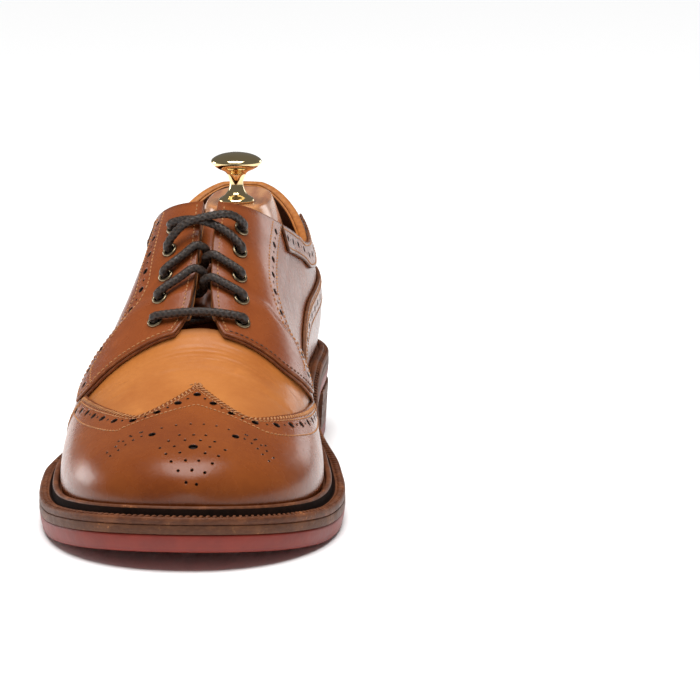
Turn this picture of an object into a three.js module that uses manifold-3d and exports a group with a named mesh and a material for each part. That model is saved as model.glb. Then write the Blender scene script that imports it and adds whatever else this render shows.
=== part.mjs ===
// Brogued derby shoe for the right foot with a sprung shoe tree standing in it.
// Millimetres. The toe points to -Y, +X is the inner (medial) side and +Z is up.
import * as THREE from "three";
import Module from "manifold-3d";

const wasm = await Module();
wasm.setup();
const { Manifold, Mesh } = wasm;

// ---------- Overall sizes ----------
const SHOE_LENGTH = 318;
const BALL_WIDTH = 96;
const HEEL_WIDTH = 62.5;
const HEEL_HEIGHT = 23.7;
const TOE_SPRING = 8.1;

// ---------- Bottom stack ----------
const OUTSOLE_THICK = 7;
const MIDSOLE_THICK = 3.4;
const WELT_THICK = 3.4;
const FEATHER_LIFT = 1.6;
const PLY_GAP = 0.1;
const WELT_GAP = 0.35;
const FILLER_GAP = 0.3;
const SOCK_GAP = 0.25;
const WELT_REACH_TOE = 14.5;
const WELT_REACH_HEEL = 11;
const WELT_INNER = -2;
const LIP_INNER = 6.7;
const LIP_WIDTH = 2.4;
const LIP_HEIGHT = 4;
const INSOLE_THICK = 2.6;
const INSOLE_INSET = -2.7;
const FILLER_THICK = 1.2;
const SHANK_THICK = 1.2;
const SHANK_WIDTH = 16;
const SOCK_THICK = 0.8;
const SOCK_INSET = -1.2;
const TOP_PIECE_THICK = 6;
const LIFT_COUNT = 3;
const HEEL_TAPER = 1.5;
const NAIL_RADIUS = 1.5;
const NAIL_DEPTH = 3;
const NAIL_CLEARANCE = 0.15;
const NAIL_INSET = 17;
const NAIL_SITES = [[79, 1], [88, 1], [88, -1], [79, -1]];

// ---------- Upper: distances from the last, thin to thick ----------
const LINING = [0, 0.9];
const STIFFENER = [1.2, 2.1];
const VAMP = [2.4, 3.8];
const OVERLAY_STEP = 1.7;
const OVERLAY = [VAMP[0] + OVERLAY_STEP, VAMP[1] + OVERLAY_STEP];
const SHEET_GAP = 0.3;
const FACING_THICK = 1.1;
const FACING = [VAMP[1] + SHEET_GAP, VAMP[1] + SHEET_GAP + FACING_THICK];
const BACK_STRIP = [OVERLAY[1] + SHEET_GAP, OVERLAY[1] + SHEET_GAP + 1];
const MARGIN_DROP = 1.1;
const SEAM_HALF_GAP = 0.25;
const TOPLINE_BAND = 11;
const BACK_STRIP_HALF = 7;
const BACK_STRIP_FOOT = 6;
const STIFFENER_DROP = 6;
const TONGUE_SHARE = 0.3;

// ---------- Lacing ----------
const LACE_RADIUS = 1.55;
const LACE_SIDES = 6;
const LACE_STEPS = 110;
const LACE_PASS = 2 * LACE_RADIUS + 0.3;
const LACE_BELOW = LACE_RADIUS + 0.75;
const BAR_BELOW = 2;
const TONGUE_THICK = 1.2;
const TONGUE_TOP = -(BAR_BELOW + LACE_PASS + LACE_RADIUS + 0.25);
const TONGUE = [TONGUE_TOP - TONGUE_THICK, TONGUE_TOP];
const EYELET_ROWS = 5;
const EYELET_BORE = LACE_RADIUS + 0.6;
const EYELET_WALL = 0.4;
const EYELET_FLANGE = EYELET_BORE + 1.35;
const EYELET_FOOT = -0.3;
const EYELET_DOME = 0.6;
const EYELET_CLEARANCE = 0.3;
const EYELET_FACETS = 9;
const FLANGE_LIFT = 0.0016 * SHOE_LENGTH;
const HOLE_DEPTH = 14;
const HOLE_MIDDLE = 4;

// ---------- Shoe tree ----------
const TREE_CLEARANCE = 5.4 - TONGUE[0];
const TREE_HALF_GAP = 8.6;
const TREE_X = 1.8;
const TREE_FLOOR = 2;
const BLOCK_FLOOR = 6;
const PIN_SHARE = 40.25;
const PIN_HEIGHT = 34;
const PIN_RADIUS = 2;
const PIN_LENGTH = 10.4;
const PIN_CLEARANCE = 0.06;
const TUBE_RISE = 0.27;
const TUBE_START = 61;
const TUBE_LENGTH = 82;
const TUBE_WALL = 1;
const ROD_RADIUS = 4;
const ROD_LENGTH = 100;
const ROD_START = 3;
const ROD_FLAT = 2.3;
const SLIDE_CLEARANCE = 0.25;
const POCKET_START = 58;
const POCKET_CLEARANCE = 0.2;
const EYE_RADIUS = 5;
const YOKE_BAR = { width: 5, height: 9 };
const YOKE_CHEEK = { thick: 1.8, length: 26, height: 20, offset: 3.6 };
const YOKE_BRIDGE = { width: 9, length: 8, height: 12, back: 15 };
const DOWEL_SITES = [{ share: 22, height: 20.5 }, { share: 33, height: 26.6 }];
const DOWEL_RADIUS = 2;
const DOWEL_LENGTH = 26;
const DOWEL_CLEARANCE = 0.3;
const DOWEL_FIT = 0.15;
const BLOCK_TOP = 109.8;
const BLOCK_HALF_WIDTH = 24;
const BLOCK_HALF_LENGTH = 42;
const BLOCK_FACETS = 20;
const KNOB_RADIUS = 11.3;
const KNOB_HEIGHT = 22;
const KNOB_X = 3.4;
const KNOB_SHARE = 74.05;
const STUD_RADIUS = 3.2;
const STUD_LENGTH = 8.6;

// ---------- Small maths ----------
const percent = (p) => (p / 100) * SHOE_LENGTH;
const clamp01 = (t) => Math.min(1, Math.max(0, t));
const mix = (a, b, t) => a + (b - a) * t;

/** Smooth step from 0 at lo to 1 at hi. */
function ramp(lo, hi, value) {
  const t = clamp01((value - lo) / (hi - lo));
  return t * t * (3 - 2 * t);
}

/** Monotone cubic through [position, value] pairs, straight beyond the ends. */
function curve(points) {
  const last = points.length - 1;
  const slope = points.slice(1).map((p, i) => (p[1] - points[i][1]) / (p[0] - points[i][0]));
  const tangent = points.map((p, i) => {
    if (i === 0) return slope[0];
    if (i === last) return slope[last - 1];
    const before = slope[i - 1];
    const after = slope[i];
    if (before * after <= 0) return 0;
    const h0 = p[0] - points[i - 1][0];
    const h1 = points[i + 1][0] - p[0];
    const w0 = 2 * h1 + h0;
    const w1 = h1 + 2 * h0;
    return (w0 + w1) / (w0 / before + w1 / after);
  });
  return (at) => {
    let k = 0;
    while (k < last - 1 && at > points[k + 1][0]) k += 1;
    const [x0, y0] = points[k];
    const [x1, y1] = points[k + 1];
    const h = x1 - x0;
    const t = clamp01((at - x0) / h);
    const t2 = t * t;
    const t3 = t2 * t;
    const ends = (2 * t3 - 3 * t2 + 1) * y0 + (3 * t2 - 2 * t3) * y1;
    return ends + h * ((t3 - 2 * t2 + t) * tangent[k] + (t3 - t2) * tangent[k + 1]);
  };
}

const lengthCurve = (points) => curve(points.map(([p, v]) => [percent(p), v]));

// ---------- The last ----------
const LAST_TOE = percent(4.56);
const LAST_HEEL = percent(96.9);
const HEEL_BREAST = percent(74.8);

const soleUnder = lengthCurve([
  [0, TOE_SPRING], [7.9, 0.52 * TOE_SPRING], [17.3, 0.12 * TOE_SPRING], [27.7, 0], [38.4, 0],
  [47.2, 0.127 * HEEL_HEIGHT], [58.2, 0.485 * HEEL_HEIGHT], [67.6, 0.844 * HEEL_HEIGHT],
  [74.8, HEEL_HEIGHT], [100, HEEL_HEIGHT],
]);
const weltTop = (y) => soleUnder(y) + OUTSOLE_THICK + MIDSOLE_THICK + WELT_THICK;
const feather = (y) => weltTop(y) + FEATHER_LIFT;

/** One side of the last's plan shape: widths as shares of the ball and heel widths. */
function planSide(side) {
  const ball = percent(side.ball[0]);
  const heel = percent(side.heel[0]);
  const ballHalf = side.ball[1] * BALL_WIDTH;
  const heelHalf = side.heel[1] * HEEL_WIDTH;
  const waist = side.waist.map(([p, share]) => [percent(p), share * BALL_WIDTH]);
  const middle = curve([
    [ball - 20, ballHalf], [ball, ballHalf], ...waist, [heel, heelHalf], [heel + 20, heelHalf],
  ]);
  return (y) => {
    if (y < ball) {
      const u = clamp01((y - LAST_TOE) / (ball - LAST_TOE));
      return ballHalf * (1 - (1 - u) ** side.blunt) ** (1 / side.round);
    }
    if (y <= heel) return middle(y);
    const v = clamp01((y - heel) / (LAST_HEEL - heel));
    return heelHalf * Math.sqrt(Math.max(0, 1 - v ** 2.4));
  };
}

const lateralHalf = planSide({
  ball: [37.1, 0.536], heel: [82.4, 0.504], blunt: 3.1, round: 2.25,
  waist: [[47.2, 0.472], [59.7, 0.385], [70.8, 0.339]],
});
const medialHalf = planSide({
  ball: [29.9, 0.464], heel: [82.4, 0.496], blunt: 2.35, round: 2.05,
  waist: [[40.9, 0.442], [55, 0.345], [67.6, 0.316]],
});
const lastTop = lengthCurve([
  [4.56, 34.6], [6.3, 36.6], [9.4, 39.4], [15.7, 44.4], [22, 49.6], [26.1, 53.4], [31.4, 60.3],
  [37.1, 71.3], [44, 90], [50.3, 108], [58.2, 124], [67.6, 135], [78.6, 141], [96.3, 138],
]);
const sectionPower = lengthCurve([
  [4.56, 2.3], [12.6, 2.3], [25.2, 2.15], [37.1, 1.95], [50.3, 1.85], [69.2, 2.05], [96.3, 2.3],
]);
const centreLine = lengthCurve([
  [0, 6], [9.4, 5.2], [26.1, 2.2], [37.7, -0.2], [47.2, -1.2], [56.6, -0.8], [66, 0], [100, 0],
]);
const MARGIN_ACROSS = 1.05;
const TOE_DROP = 6.5;
const TOE_ROUND = 14;
const TOE_SKEW = 0.03;
const WALL_BULGE = 1.6;

/** How far the heel curve leans forward at a height above the feather. */
function heelLean(height) {
  const foot = clamp01(1 - height / 18);
  const top = Math.min(2, Math.max(0, (height - 18) / 50));
  return 1.2 * foot * foot + 6.5 * top * top;
}

function ridgeHeight(y) {
  const v = clamp01((y - LAST_TOE) / TOE_ROUND);
  const drop = TOE_DROP * (1 - Math.sqrt(1 - (1 - v) * (1 - v)));
  return lastTop(y) - drop - feather(y);
}

/** Last surface: across runs from -1 (lateral feather) over 0 (ridge) to +1 (medial feather). */
function lastPoint(y, across) {
  const side = Math.sign(across);
  const angle = Math.min(1, Math.abs(across)) * Math.PI / 2;
  const power = sectionPower(y);
  const sin = Math.sin(angle);
  const cos = Math.max(0, Math.cos(angle));
  const rho = (sin ** power + cos ** power) ** (1 / power);
  const half = side > 0 ? medialHalf(y) : lateralHalf(y);
  const ridge = ridgeHeight(y);
  const height = ridge * cos / rho;
  const bulge = (WALL_BULGE + WALL_BULGE * ramp(percent(60), percent(82), y)) * sin * Math.min(1, half / 20);
  const wall = Math.sin(Math.PI * clamp01(height / Math.min(0.9 * ridge, 55)));
  const x = side * (half * sin / rho + bulge * wall);
  const lean = heelLean(height) * ramp(percent(67.6), percent(94.3), y);
  const skew = TOE_SKEW * x * (1 - ramp(percent(6.3), percent(31.4), y));
  const margin = Math.max(0, Math.abs(across) - 1) / (MARGIN_ACROSS - 1) * MARGIN_DROP;
  return new THREE.Vector3(x + centreLine(y), y - lean + skew, feather(y) + height - margin);
}

/** Point at turn t along the length, carried over the toe and heel folds onto the other side. */
function foldedPoint(turn, across) {
  const folded = turn < 0 || turn > 1;
  const t = turn < 0 ? -turn : turn > 1 ? 2 - turn : turn;
  return lastPoint(mix(LAST_TOE, LAST_HEEL, (1 - Math.cos(Math.PI * t)) / 2), folded ? -across : across);
}

/** Outward unit normal of the last. */
function lastNormal(y, across) {
  const share = clamp01((y - LAST_TOE) / (LAST_HEEL - LAST_TOE));
  const turn = Math.acos(1 - 2 * share) / Math.PI;
  const step = 0.004;
  const a = Math.max(-0.99, Math.min(0.99, across));
  const along = foldedPoint(turn + step, a).sub(foldedPoint(turn - step, a));
  if (along.lengthSq() < 1e-9) return lastNormal(y, 0.05).add(lastNormal(y, -0.05)).normalize();
  const around = foldedPoint(turn, a + step).sub(foldedPoint(turn, a - step));
  const normal = around.cross(along).normalize();
  if (Math.abs(across) < 1) return normal;
  normal.setZ(0).normalize();
  return normal.setZ(normal.y * (feather(y + 1) - feather(y - 4)) / 5);
}

const lastSite = (y, across, distance) => {
  return lastPoint(y, across).addScaledVector(lastNormal(y, across), distance);
};

// ---------- Base net over the last ----------
const NET_COLUMNS = [0, 0.08, 0.18, 0.32, 0.5, 0.68, 0.85, 1, MARGIN_ACROSS];
const FOLD_STATIONS = 4;
const FOLD_REACH = percent(13.5);
const MID_STATIONS = 12;

/** Stations along the last: close together at the rounded ends, even between. */
function netStations() {
  const list = [];
  for (let i = 0; i < FOLD_STATIONS; i += 1) {
    list.push(LAST_TOE + FOLD_REACH * (1 - Math.cos((i / FOLD_STATIONS) * Math.PI / 2)));
  }
  const from = LAST_TOE + FOLD_REACH;
  const to = LAST_HEEL - FOLD_REACH;
  for (let i = 0; i <= MID_STATIONS; i += 1) list.push(mix(from, to, i / MID_STATIONS));
  for (let i = FOLD_STATIONS - 1; i >= 0; i -= 1) {
    list.push(LAST_HEEL - FOLD_REACH * (1 - Math.cos((i / FOLD_STATIONS) * Math.PI / 2)));
  }
  return list;
}

/** How far the vamp runs under the quarters. */
const vampTail = (across) => mix(3.5, 7, ramp(0.22, 0.4, Math.abs(across)));

/** How much a quarter is lifted by the vamp under its front edge: 1 on the vamp, 0 behind it. */
function drapeAt(y, across) {
  const edge = quarterFront(across) + vampTail(across);
  return 1 - ramp(edge + 14, edge + 22, y);
}

function netVertex(y, column) {
  const across = Math.sign(column) * NET_COLUMNS[Math.abs(column)];
  const id = `${y.toFixed(4)}/${across.toFixed(4)}`;
  const place = { point: lastPoint(y, across), normal: lastNormal(y, across) };
  return { id, y, across, drape: drapeAt(y, across), ...place };
}

function buildNet() {
  const stations = netStations();
  const end = NET_COLUMNS.length - 1;
  const rows = stations.map((y, i) => {
    const row = new Map();
    const fold = i === 0 || i === stations.length - 1;
    for (let j = -end; j <= end; j += 1) {
      row.set(j, fold && j < 0 ? null : netVertex(y, j));
    }
    if (fold) for (let j = -end; j < 0; j += 1) row.set(j, row.get(-j));
    return row;
  });
  const triangles = [];
  for (let i = 0; i + 1 < rows.length; i += 1) {
    for (let j = -end; j < end; j += 1) {
      const a = rows[i].get(j);
      const b = rows[i].get(j + 1);
      const c = rows[i + 1].get(j + 1);
      const d = rows[i + 1].get(j);
      if (j < 0) triangles.push([a, b, d], [b, c, d]);
      else triangles.push([a, b, c], [a, c, d]);
    }
  }
  return triangles;
}

const NET = buildNet();

// ---------- Cutting patterns out of the net ----------
const SNAP = 0.04;

/** The vertex where an edge crosses zero; it snaps onto an end that is very close. */
function crossing(from, to, valueFrom, valueTo) {
  const swap = from.id > to.id;
  const [a, b] = swap ? [to, from] : [from, to];
  const [va, vb] = swap ? [valueTo, valueFrom] : [valueFrom, valueTo];
  const t = va / (va - vb);
  if (t < SNAP) return a;
  if (t > 1 - SNAP) return b;
  return {
    id: `(${a.id}|${b.id}@${t.toFixed(5)})`,
    y: mix(a.y, b.y, t),
    across: mix(a.across, b.across, t),
    drape: mix(a.drape, b.drape, t),
    point: a.point.clone().lerp(b.point, t),
    normal: a.normal.clone().lerp(b.normal, t),
  };
}

/** Keep the part of a polygon where keep(vertex) is positive. */
function clipPolygon(polygon, keep) {
  const out = [];
  const values = polygon.map(keep);
  polygon.forEach((vertex, i) => {
    const next = polygon[(i + 1) % polygon.length];
    const value = values[i];
    const nextValue = values[(i + 1) % polygon.length];
    if (value >= 0) out.push(vertex);
    if (value >= 0 !== nextValue >= 0) out.push(crossing(vertex, next, value, nextValue));
  });
  return out.filter((vertex, i) => vertex.id !== out[(i + 1) % out.length].id);
}

/** Triangles of the net inside every keep function. */
function cutPattern(keeps) {
  const triangles = [];
  for (const triangle of NET) {
    let polygon = triangle.filter((v, i) => v.id !== triangle[(i + 1) % 3].id);
    for (const keep of keeps) if (polygon.length > 2) polygon = clipPolygon(polygon, keep);
    for (let i = 1; i + 1 < polygon.length; i += 1) {
      triangles.push([polygon[0], polygon[i], polygon[i + 1]]);
    }
  }
  return triangles;
}

/** Indexed geometry from flat lists. */
function geometryFrom(positions, indices) {
  const geometry = new THREE.BufferGeometry();
  geometry.setAttribute("position", new THREE.Float32BufferAttribute(positions, 3));
  geometry.setIndex(indices);
  geometry.computeVertexNormals();
  return geometry;
}

/** Closed sheet from a cut pattern: inner and outer skins joined by a rim. */
function sheet(triangles, inner, outer) {
  const index = new Map();
  const vertices = [];
  const number = (vertex) => {
    if (!index.has(vertex.id)) {
      index.set(vertex.id, vertices.length);
      vertices.push(vertex);
    }
    return index.get(vertex.id);
  };
  const faces = triangles.map((t) => t.map(number));
  const count = vertices.length;
  const positions = [];
  for (const offset of [outer, inner]) {
    for (const v of vertices) {
      positions.push(...v.point.clone().addScaledVector(v.normal, offset(v)).toArray());
    }
  }
  const edges = new Set();
  for (const [a, b, c] of faces) for (const [u, v] of [[a, b], [b, c], [c, a]]) edges.add(`${u},${v}`);
  const indices = [];
  for (const [a, b, c] of faces) indices.push(a, b, c, a + count, c + count, b + count);
  for (const edge of edges) {
    const [u, v] = edge.split(",").map(Number);
    if (!edges.has(`${v},${u}`)) indices.push(v, u, u + count, v, u + count, v + count);
  }
  return geometryFrom(positions, indices);
}

const level = (distance) => () => distance;
const draped = (distance) => (vertex) => distance + OVERLAY_STEP * vertex.drape;

// ---------- Pattern lines ----------
const GAP_AT_THROAT = 0.092;
const GAP_AT_TOP = 0.038;
const THROAT = percent(37.3);

/** Back edge of the wing cap: a W with its peak on the ridge. */
function wingEdge(across) {
  const a = Math.abs(across);
  const low = percent(18.9);
  if (a < 0.3) return low + percent(7.2) * (1 - a / 0.3) ** 1.6;
  return across > 0
    ? low + percent(7.74) * ((a - 0.3) / 0.232) ** 1.55
    : low + percent(8.5) * ((a - 0.3) / 0.2) ** 1.35;
}

/** Front edge of the quarters, from the throat down to the feather. */
function quarterFront(across) {
  const a = Math.abs(across);
  const start = across > 0 ? 0.45 : 0.55;
  const forward = across > 0 ? 0 : percent(3.5) * Math.max(0, a - 0.15);
  return percent(36) - forward + percent(38) * Math.max(0, a - start) ** 1.6;
}

/** Half the gap between the facings, as a share of the section. */
function facingGap(y) {
  return GAP_AT_TOP + (GAP_AT_THROAT - GAP_AT_TOP) * Math.exp((THROAT - y) / percent(2.7));
}

/** Height of the topline along the shoe. */
const topline = lengthCurve([
  [52.5, 119.5], [55, 116.6], [58.8, 111], [62.3, 106.3], [73.9, 93.7], [77.4, 89], [82, 87.5],
  [89.6, 96], [96.3, 108],
]);

/** Upper edge of the heel counter. */
const counterTop = lengthCurve([[57, 34], [64, 58], [72, 67], [83, 70], [96.3, 76]]);

/** Back edge of a facing, as a share of the section. */
function facingBack(y, sign) {
  if (sign > 0) return 0.5 + 0.22 * ramp(percent(50), percent(42.5), y);
  return 0.4 + 0.28 * ramp(percent(46.5), percent(39), y);
}

const side = (sign) => (v) => sign * (v.point.x - centreLine(v.y)) - SEAM_HALF_GAP;
const beforeWing = (v) => Math.min(wingEdge(v.across), quarterFront(v.across) - 1) - v.y;
const behindFront = (v) => v.y - quarterFront(v.across);
const besideGap = (v) => Math.abs(v.across) - facingGap(v.y);
const belowTopline = (v) => topline(v.y) - v.point.z;
const aheadOf = (y) => (v) => y - v.y;
const behind = (y) => (v) => v.y - y;
const within = (share) => (v) => share(v.y, Math.sign(v.across)) - Math.abs(v.across);
const aboveFeather = (height) => (v) => v.point.z - feather(v.y) - height;

const SIDES = { lateral: -1, medial: 1 };
const shoe = new THREE.Group();
shoe.name = "derby_shoe_with_tree";

// ---------- Finishes ----------
const LEATHER = { color: 0x9a4f23, roughness: 0.35, metalness: 0 };
const VAMP_LEATHER = { color: 0xb5672c, roughness: 0.35, metalness: 0 };
const LINING_LEATHER = { color: 0xb9793f, roughness: 0.7, metalness: 0 };
const SOLE_LEATHER = { color: 0x7a4a2e, roughness: 0.6, metalness: 0 };
const RED_RUBBER = { color: 0x96402f, roughness: 0.75, metalness: 0 };
const CORK = { color: 0x9c7a52, roughness: 0.9, metalness: 0 };
const STEEL = { color: 0x9a9c9e, roughness: 0.4, metalness: 1 };
const BRASS = { color: 0xc79a45, roughness: 0.2, metalness: 1 };
const AGED_BRASS = { color: 0x8a7348, roughness: 0.4, metalness: 1 };
const LACE_CORD = { color: 0x1d1814, roughness: 0.6, metalness: 0 };
const VARNISHED_WOOD = { color: 0x8f4a2a, roughness: 0.3, metalness: 0 };

function add(name, geometry, finish) {
  const mesh = new THREE.Mesh(geometry, new THREE.MeshStandardMaterial({ ...finish }));
  mesh.name = name;
  shoe.add(mesh);
}

// ---------- Joining and cutting solids ----------
function toSolid(geometry) {
  const position = geometry.getAttribute("position");
  const order = geometry.index ? Array.from(geometry.index.array) : [...Array(position.count).keys()];
  const keys = new Map();
  const points = [];
  const remap = order.map((i) => {
    const point = [position.getX(i), position.getY(i), position.getZ(i)];
    const key = point.map((value) => value.toFixed(4)).join(",");
    if (!keys.has(key)) {
      keys.set(key, points.length / 3);
      points.push(...point);
    }
    return keys.get(key);
  });
  const triangles = [];
  for (let i = 0; i < remap.length; i += 3) {
    const [a, b, c] = remap.slice(i, i + 3);
    if (a !== b && b !== c && c !== a) triangles.push(a, b, c);
  }
  const mesh = new Mesh({
    numProp: 3,
    vertProperties: new Float32Array(points),
    triVerts: new Uint32Array(triangles),
  });
  mesh.merge();
  return new Manifold(mesh);
}

function fromSolid(solid) {
  const mesh = solid.getMesh();
  return geometryFrom(Array.from(mesh.vertProperties), Array.from(mesh.triVerts));
}

/** First geometry minus all the others. */
function cut(geometry, cutters) {
  return fromSolid(cutters.reduce((solid, cutter) => solid.subtract(toSolid(cutter)), toSolid(geometry)));
}

/** All geometries as one body. */
function join(geometries) {
  return fromSolid(Manifold.union(geometries.map(toSolid)));
}

/** Rotate a geometry whose axis is +Y onto a direction and move it to a place. */
function aim(geometry, direction, at) {
  const turn = new THREE.Quaternion().setFromUnitVectors(new THREE.Vector3(0, 1, 0), direction);
  return geometry.applyQuaternion(turn).translate(at.x, at.y, at.z);
}

const rod = (radius, length, facets = 16) => new THREE.CylinderGeometry(radius, radius, length, facets);
const crossRod = (radius, length, facets) => rod(radius, length, facets).rotateZ(Math.PI / 2);
const uprightRod = (radius, length, facets) => rod(radius, length, facets).rotateX(Math.PI / 2);
const block = (x, y, z) => new THREE.BoxGeometry(x, y, z);

// ---------- Bottom stack ----------
const outlineStations = netStations();

/** Plan point of the feather line pushed outwards. */
function outlinePoint(y, sign, reach) {
  const p = lastPoint(y, sign);
  const n = lastNormal(y, sign);
  return [p.x + n.x * reach, p.y + n.y * reach];
}

/** How far the welt stands out at a station. */
const weltReach = (y) => mix(WELT_REACH_TOE, WELT_REACH_HEEL, ramp(percent(38), percent(66), y));

/** Closed plan outline, anticlockwise from the toe along the medial side. */
function outline(reachAt, from = 0, to = SHOE_LENGTH) {
  const kept = outlineStations.filter((y) => y >= from && y <= to);
  const lateral = kept.map((y) => outlinePoint(y, -1, reachAt(y)));
  const medial = kept.map((y) => outlinePoint(y, 1, reachAt(y)));
  const closedToe = kept[0] === outlineStations[0];
  const closedHeel = kept.at(-1) === outlineStations.at(-1);
  return { lateral, medial, closedToe, closedHeel };
}

/** Solid plate between two height functions over a plan outline. */
function plate(shape, lowAt, highAt) {
  const back = [...shape.lateral].reverse();
  if (shape.closedHeel) back.shift();
  if (shape.closedToe) back.pop();
  const ring = [...shape.medial, ...back];
  const count = ring.length;
  const positions = [];
  for (const height of [lowAt, highAt]) for (const [x, y] of ring) positions.push(x, y, height(y));
  const partner = (i) => (shape.closedToe ? (count - i) % count : count - 1 - i);
  const indices = [];
  for (let a = 0; a + 1 < shape.medial.length; a += 1) {
    const b = a + 1;
    const c = partner(b);
    const d = partner(a);
    if (b !== c) indices.push(a, c, b, a + count, b + count, c + count);
    if (a !== d) indices.push(a, d, c, a + count, c + count, d + count);
  }
  for (let i = 0; i < count; i += 1) {
    const j = (i + 1) % count;
    indices.push(i, j, j + count, i, j + count, i + count);
  }
  return geometryFrom(positions, indices);
}

/** Ring swept round the whole outline from a list of { reach(y), height(y) } corners. */
function sweptRing(corners) {
  const medial = outlineStations.map((y) => [y, 1]);
  const lateral = outlineStations.slice(1, -1).reverse().map((y) => [y, -1]);
  const stops = [...medial, ...lateral];
  const positions = [];
  for (const [station, sign] of stops) {
    for (const corner of corners) {
      const [x, y] = outlinePoint(station, sign, corner.reach(station));
      positions.push(x, y, corner.height(y));
    }
  }
  const n = corners.length;
  const indices = [];
  for (let i = 0; i < stops.length; i += 1) {
    const next = (i + 1) % stops.length;
    for (let k = 0; k < n; k += 1) {
      const a = i * n + k;
      const b = i * n + (k + 1) % n;
      const c = next * n + (k + 1) % n;
      const d = next * n + k;
      indices.push(a, d, b, b, d, c);
    }
  }
  return geometryFrom(positions, indices);
}

const soleTop = (y) => soleUnder(y) + OUTSOLE_THICK;
const midsoleLow = (y) => soleTop(y) + PLY_GAP;
const midsoleTop = (y) => soleTop(y) + MIDSOLE_THICK;
const fillerLow = (y) => midsoleTop(y) + FILLER_GAP;
const sockLow = (y) => feather(y) + SOCK_GAP;

/** Welt with a raised lip standing against the upper; the lip is low at the back. */
function stormWelt() {
  const low = (y) => midsoleTop(y) + WELT_GAP;
  const lipTop = (y) => weltTop(y) + LIP_HEIGHT * (1 - 0.6 * ramp(percent(60), percent(72), y));
  const corners = [
    [level(WELT_INNER), low], [weltReach, low], [weltReach, weltTop],
    [level(LIP_INNER + LIP_WIDTH), weltTop], [level(LIP_INNER + 0.7 * LIP_WIDTH), lipTop],
    [level(LIP_INNER), lipTop], [level(LIP_INNER), weltTop], [level(WELT_INNER), weltTop],
  ];
  return sweptRing(corners.map(([reach, height]) => ({ reach, height })));
}

function addBottom() {
  add("outsole", plate(outline(weltReach), soleUnder, soleTop), RED_RUBBER);
  add("midsole", plate(outline(weltReach), midsoleLow, midsoleTop), SOLE_LEATHER);
  add("storm_welt", stormWelt(), SOLE_LEATHER);
  const insoleLow = (y) => feather(y) - INSOLE_THICK;
  add("insole", plate(outline(level(INSOLE_INSET)), insoleLow, feather), LINING_LEATHER);
  const filler = outline(level(INSOLE_INSET - 1), 0, percent(47));
  add("cork_filler", plate(filler, fillerLow, (y) => fillerLow(y) + FILLER_THICK), CORK);
  add("shank", shankPlate(), STEEL);
  const sockTop = (y) => sockLow(y) + SOCK_THICK;
  add("sock_liner", plate(outline(level(SOCK_INSET)), sockLow, sockTop), LINING_LEATHER);
}

/** Steel strip that stiffens the waist. */
function shankPlate() {
  const stations = outlineStations.filter((y) => y > percent(49) && y < percent(85));
  const strip = (sign) => stations.map((y) => [centreLine(y) + sign * SHANK_WIDTH / 2, y]);
  const shape = { medial: strip(1), lateral: strip(-1), closedToe: false, closedHeel: false };
  return plate(shape, fillerLow, (y) => fillerLow(y) + SHANK_THICK);
}

/** Layer of the heel between two heights; its sides taper inwards towards the ground. */
function heelLayer(low, high) {
  const shapeAt = (z) => {
    const inset = HEEL_TAPER * (1 - z / HEEL_HEIGHT);
    return plate(outline((y) => weltReach(y) - inset, HEEL_BREAST), level(low), level(high));
  };
  const layer = shapeAt(low);
  const into = layer.getAttribute("position");
  const from = shapeAt(high).getAttribute("position");
  for (let i = into.count / 2; i < into.count; i += 1) into.setXY(i, from.getX(i), from.getY(i));
  return layer;
}

/** Heel: leather lifts over a rubber top piece held by brass nails. */
function addHeel() {
  const reach = weltReach(HEEL_BREAST) - NAIL_INSET;
  const nails = NAIL_SITES.map(([share, sign]) => outlinePoint(percent(share), sign, reach));
  const depth = NAIL_DEPTH + 0.2;
  const bores = nails.map(([x, y]) => {
    return uprightRod(NAIL_RADIUS + NAIL_CLEARANCE, depth + 1, 8).translate(x, y, (depth - 1) / 2);
  });
  add("heel_top_piece", cut(heelLayer(0, TOP_PIECE_THICK - PLY_GAP), bores), RED_RUBBER);
  nails.forEach(([x, y], i) => {
    const nail = uprightRod(NAIL_RADIUS, NAIL_DEPTH - 0.2, 8);
    add(`heel_nail_${i + 1}`, nail.translate(x, y, NAIL_DEPTH / 2 + 0.1), BRASS);
  });
  const liftThick = (HEEL_HEIGHT - TOP_PIECE_THICK) / LIFT_COUNT;
  for (let i = 0; i < LIFT_COUNT; i += 1) {
    const low = TOP_PIECE_THICK + i * liftThick;
    add(`heel_lift_${LIFT_COUNT - i}`, heelLayer(low, low + liftThick - PLY_GAP), SOLE_LEATHER);
  }
}

// ---------- Eyelets and lace ----------
const ROW_TOP = { y: percent(51.4), across: 0.19 };
const ROW_THROAT = { y: percent(38.7), across: 0.215 };

/** Place of an eyelet row, counted from the top (1) to the throat. */
function eyeletRow(row) {
  const t = (row - 1) / (EYELET_ROWS - 1);
  return { y: mix(ROW_TOP.y, ROW_THROAT.y, t), across: mix(ROW_TOP.across, ROW_THROAT.across, t * t) };
}

const facingOuter = (y, across) => FACING[1] + OVERLAY_STEP * drapeAt(y, across);

function eyeletSite(row, sign) {
  const { y, across } = eyeletRow(row);
  const base = lastPoint(y, sign * across);
  const normal = lastNormal(y, sign * across);
  const top = facingOuter(y, sign * across) + FLANGE_LIFT;
  const at = (distance) => base.clone().addScaledVector(normal, distance);
  return { base, normal, top, at };
}

const eyeletRows = () => [...Array(EYELET_ROWS).keys()].map((i) => i + 1);

function eyeletCutters(sign) {
  return eyeletRows().map((row) => {
    const site = eyeletSite(row, sign);
    const hole = rod(EYELET_BORE + EYELET_WALL + EYELET_CLEARANCE, HOLE_DEPTH, 10);
    return aim(hole, site.normal, site.at(HOLE_MIDDLE));
  });
}

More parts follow.
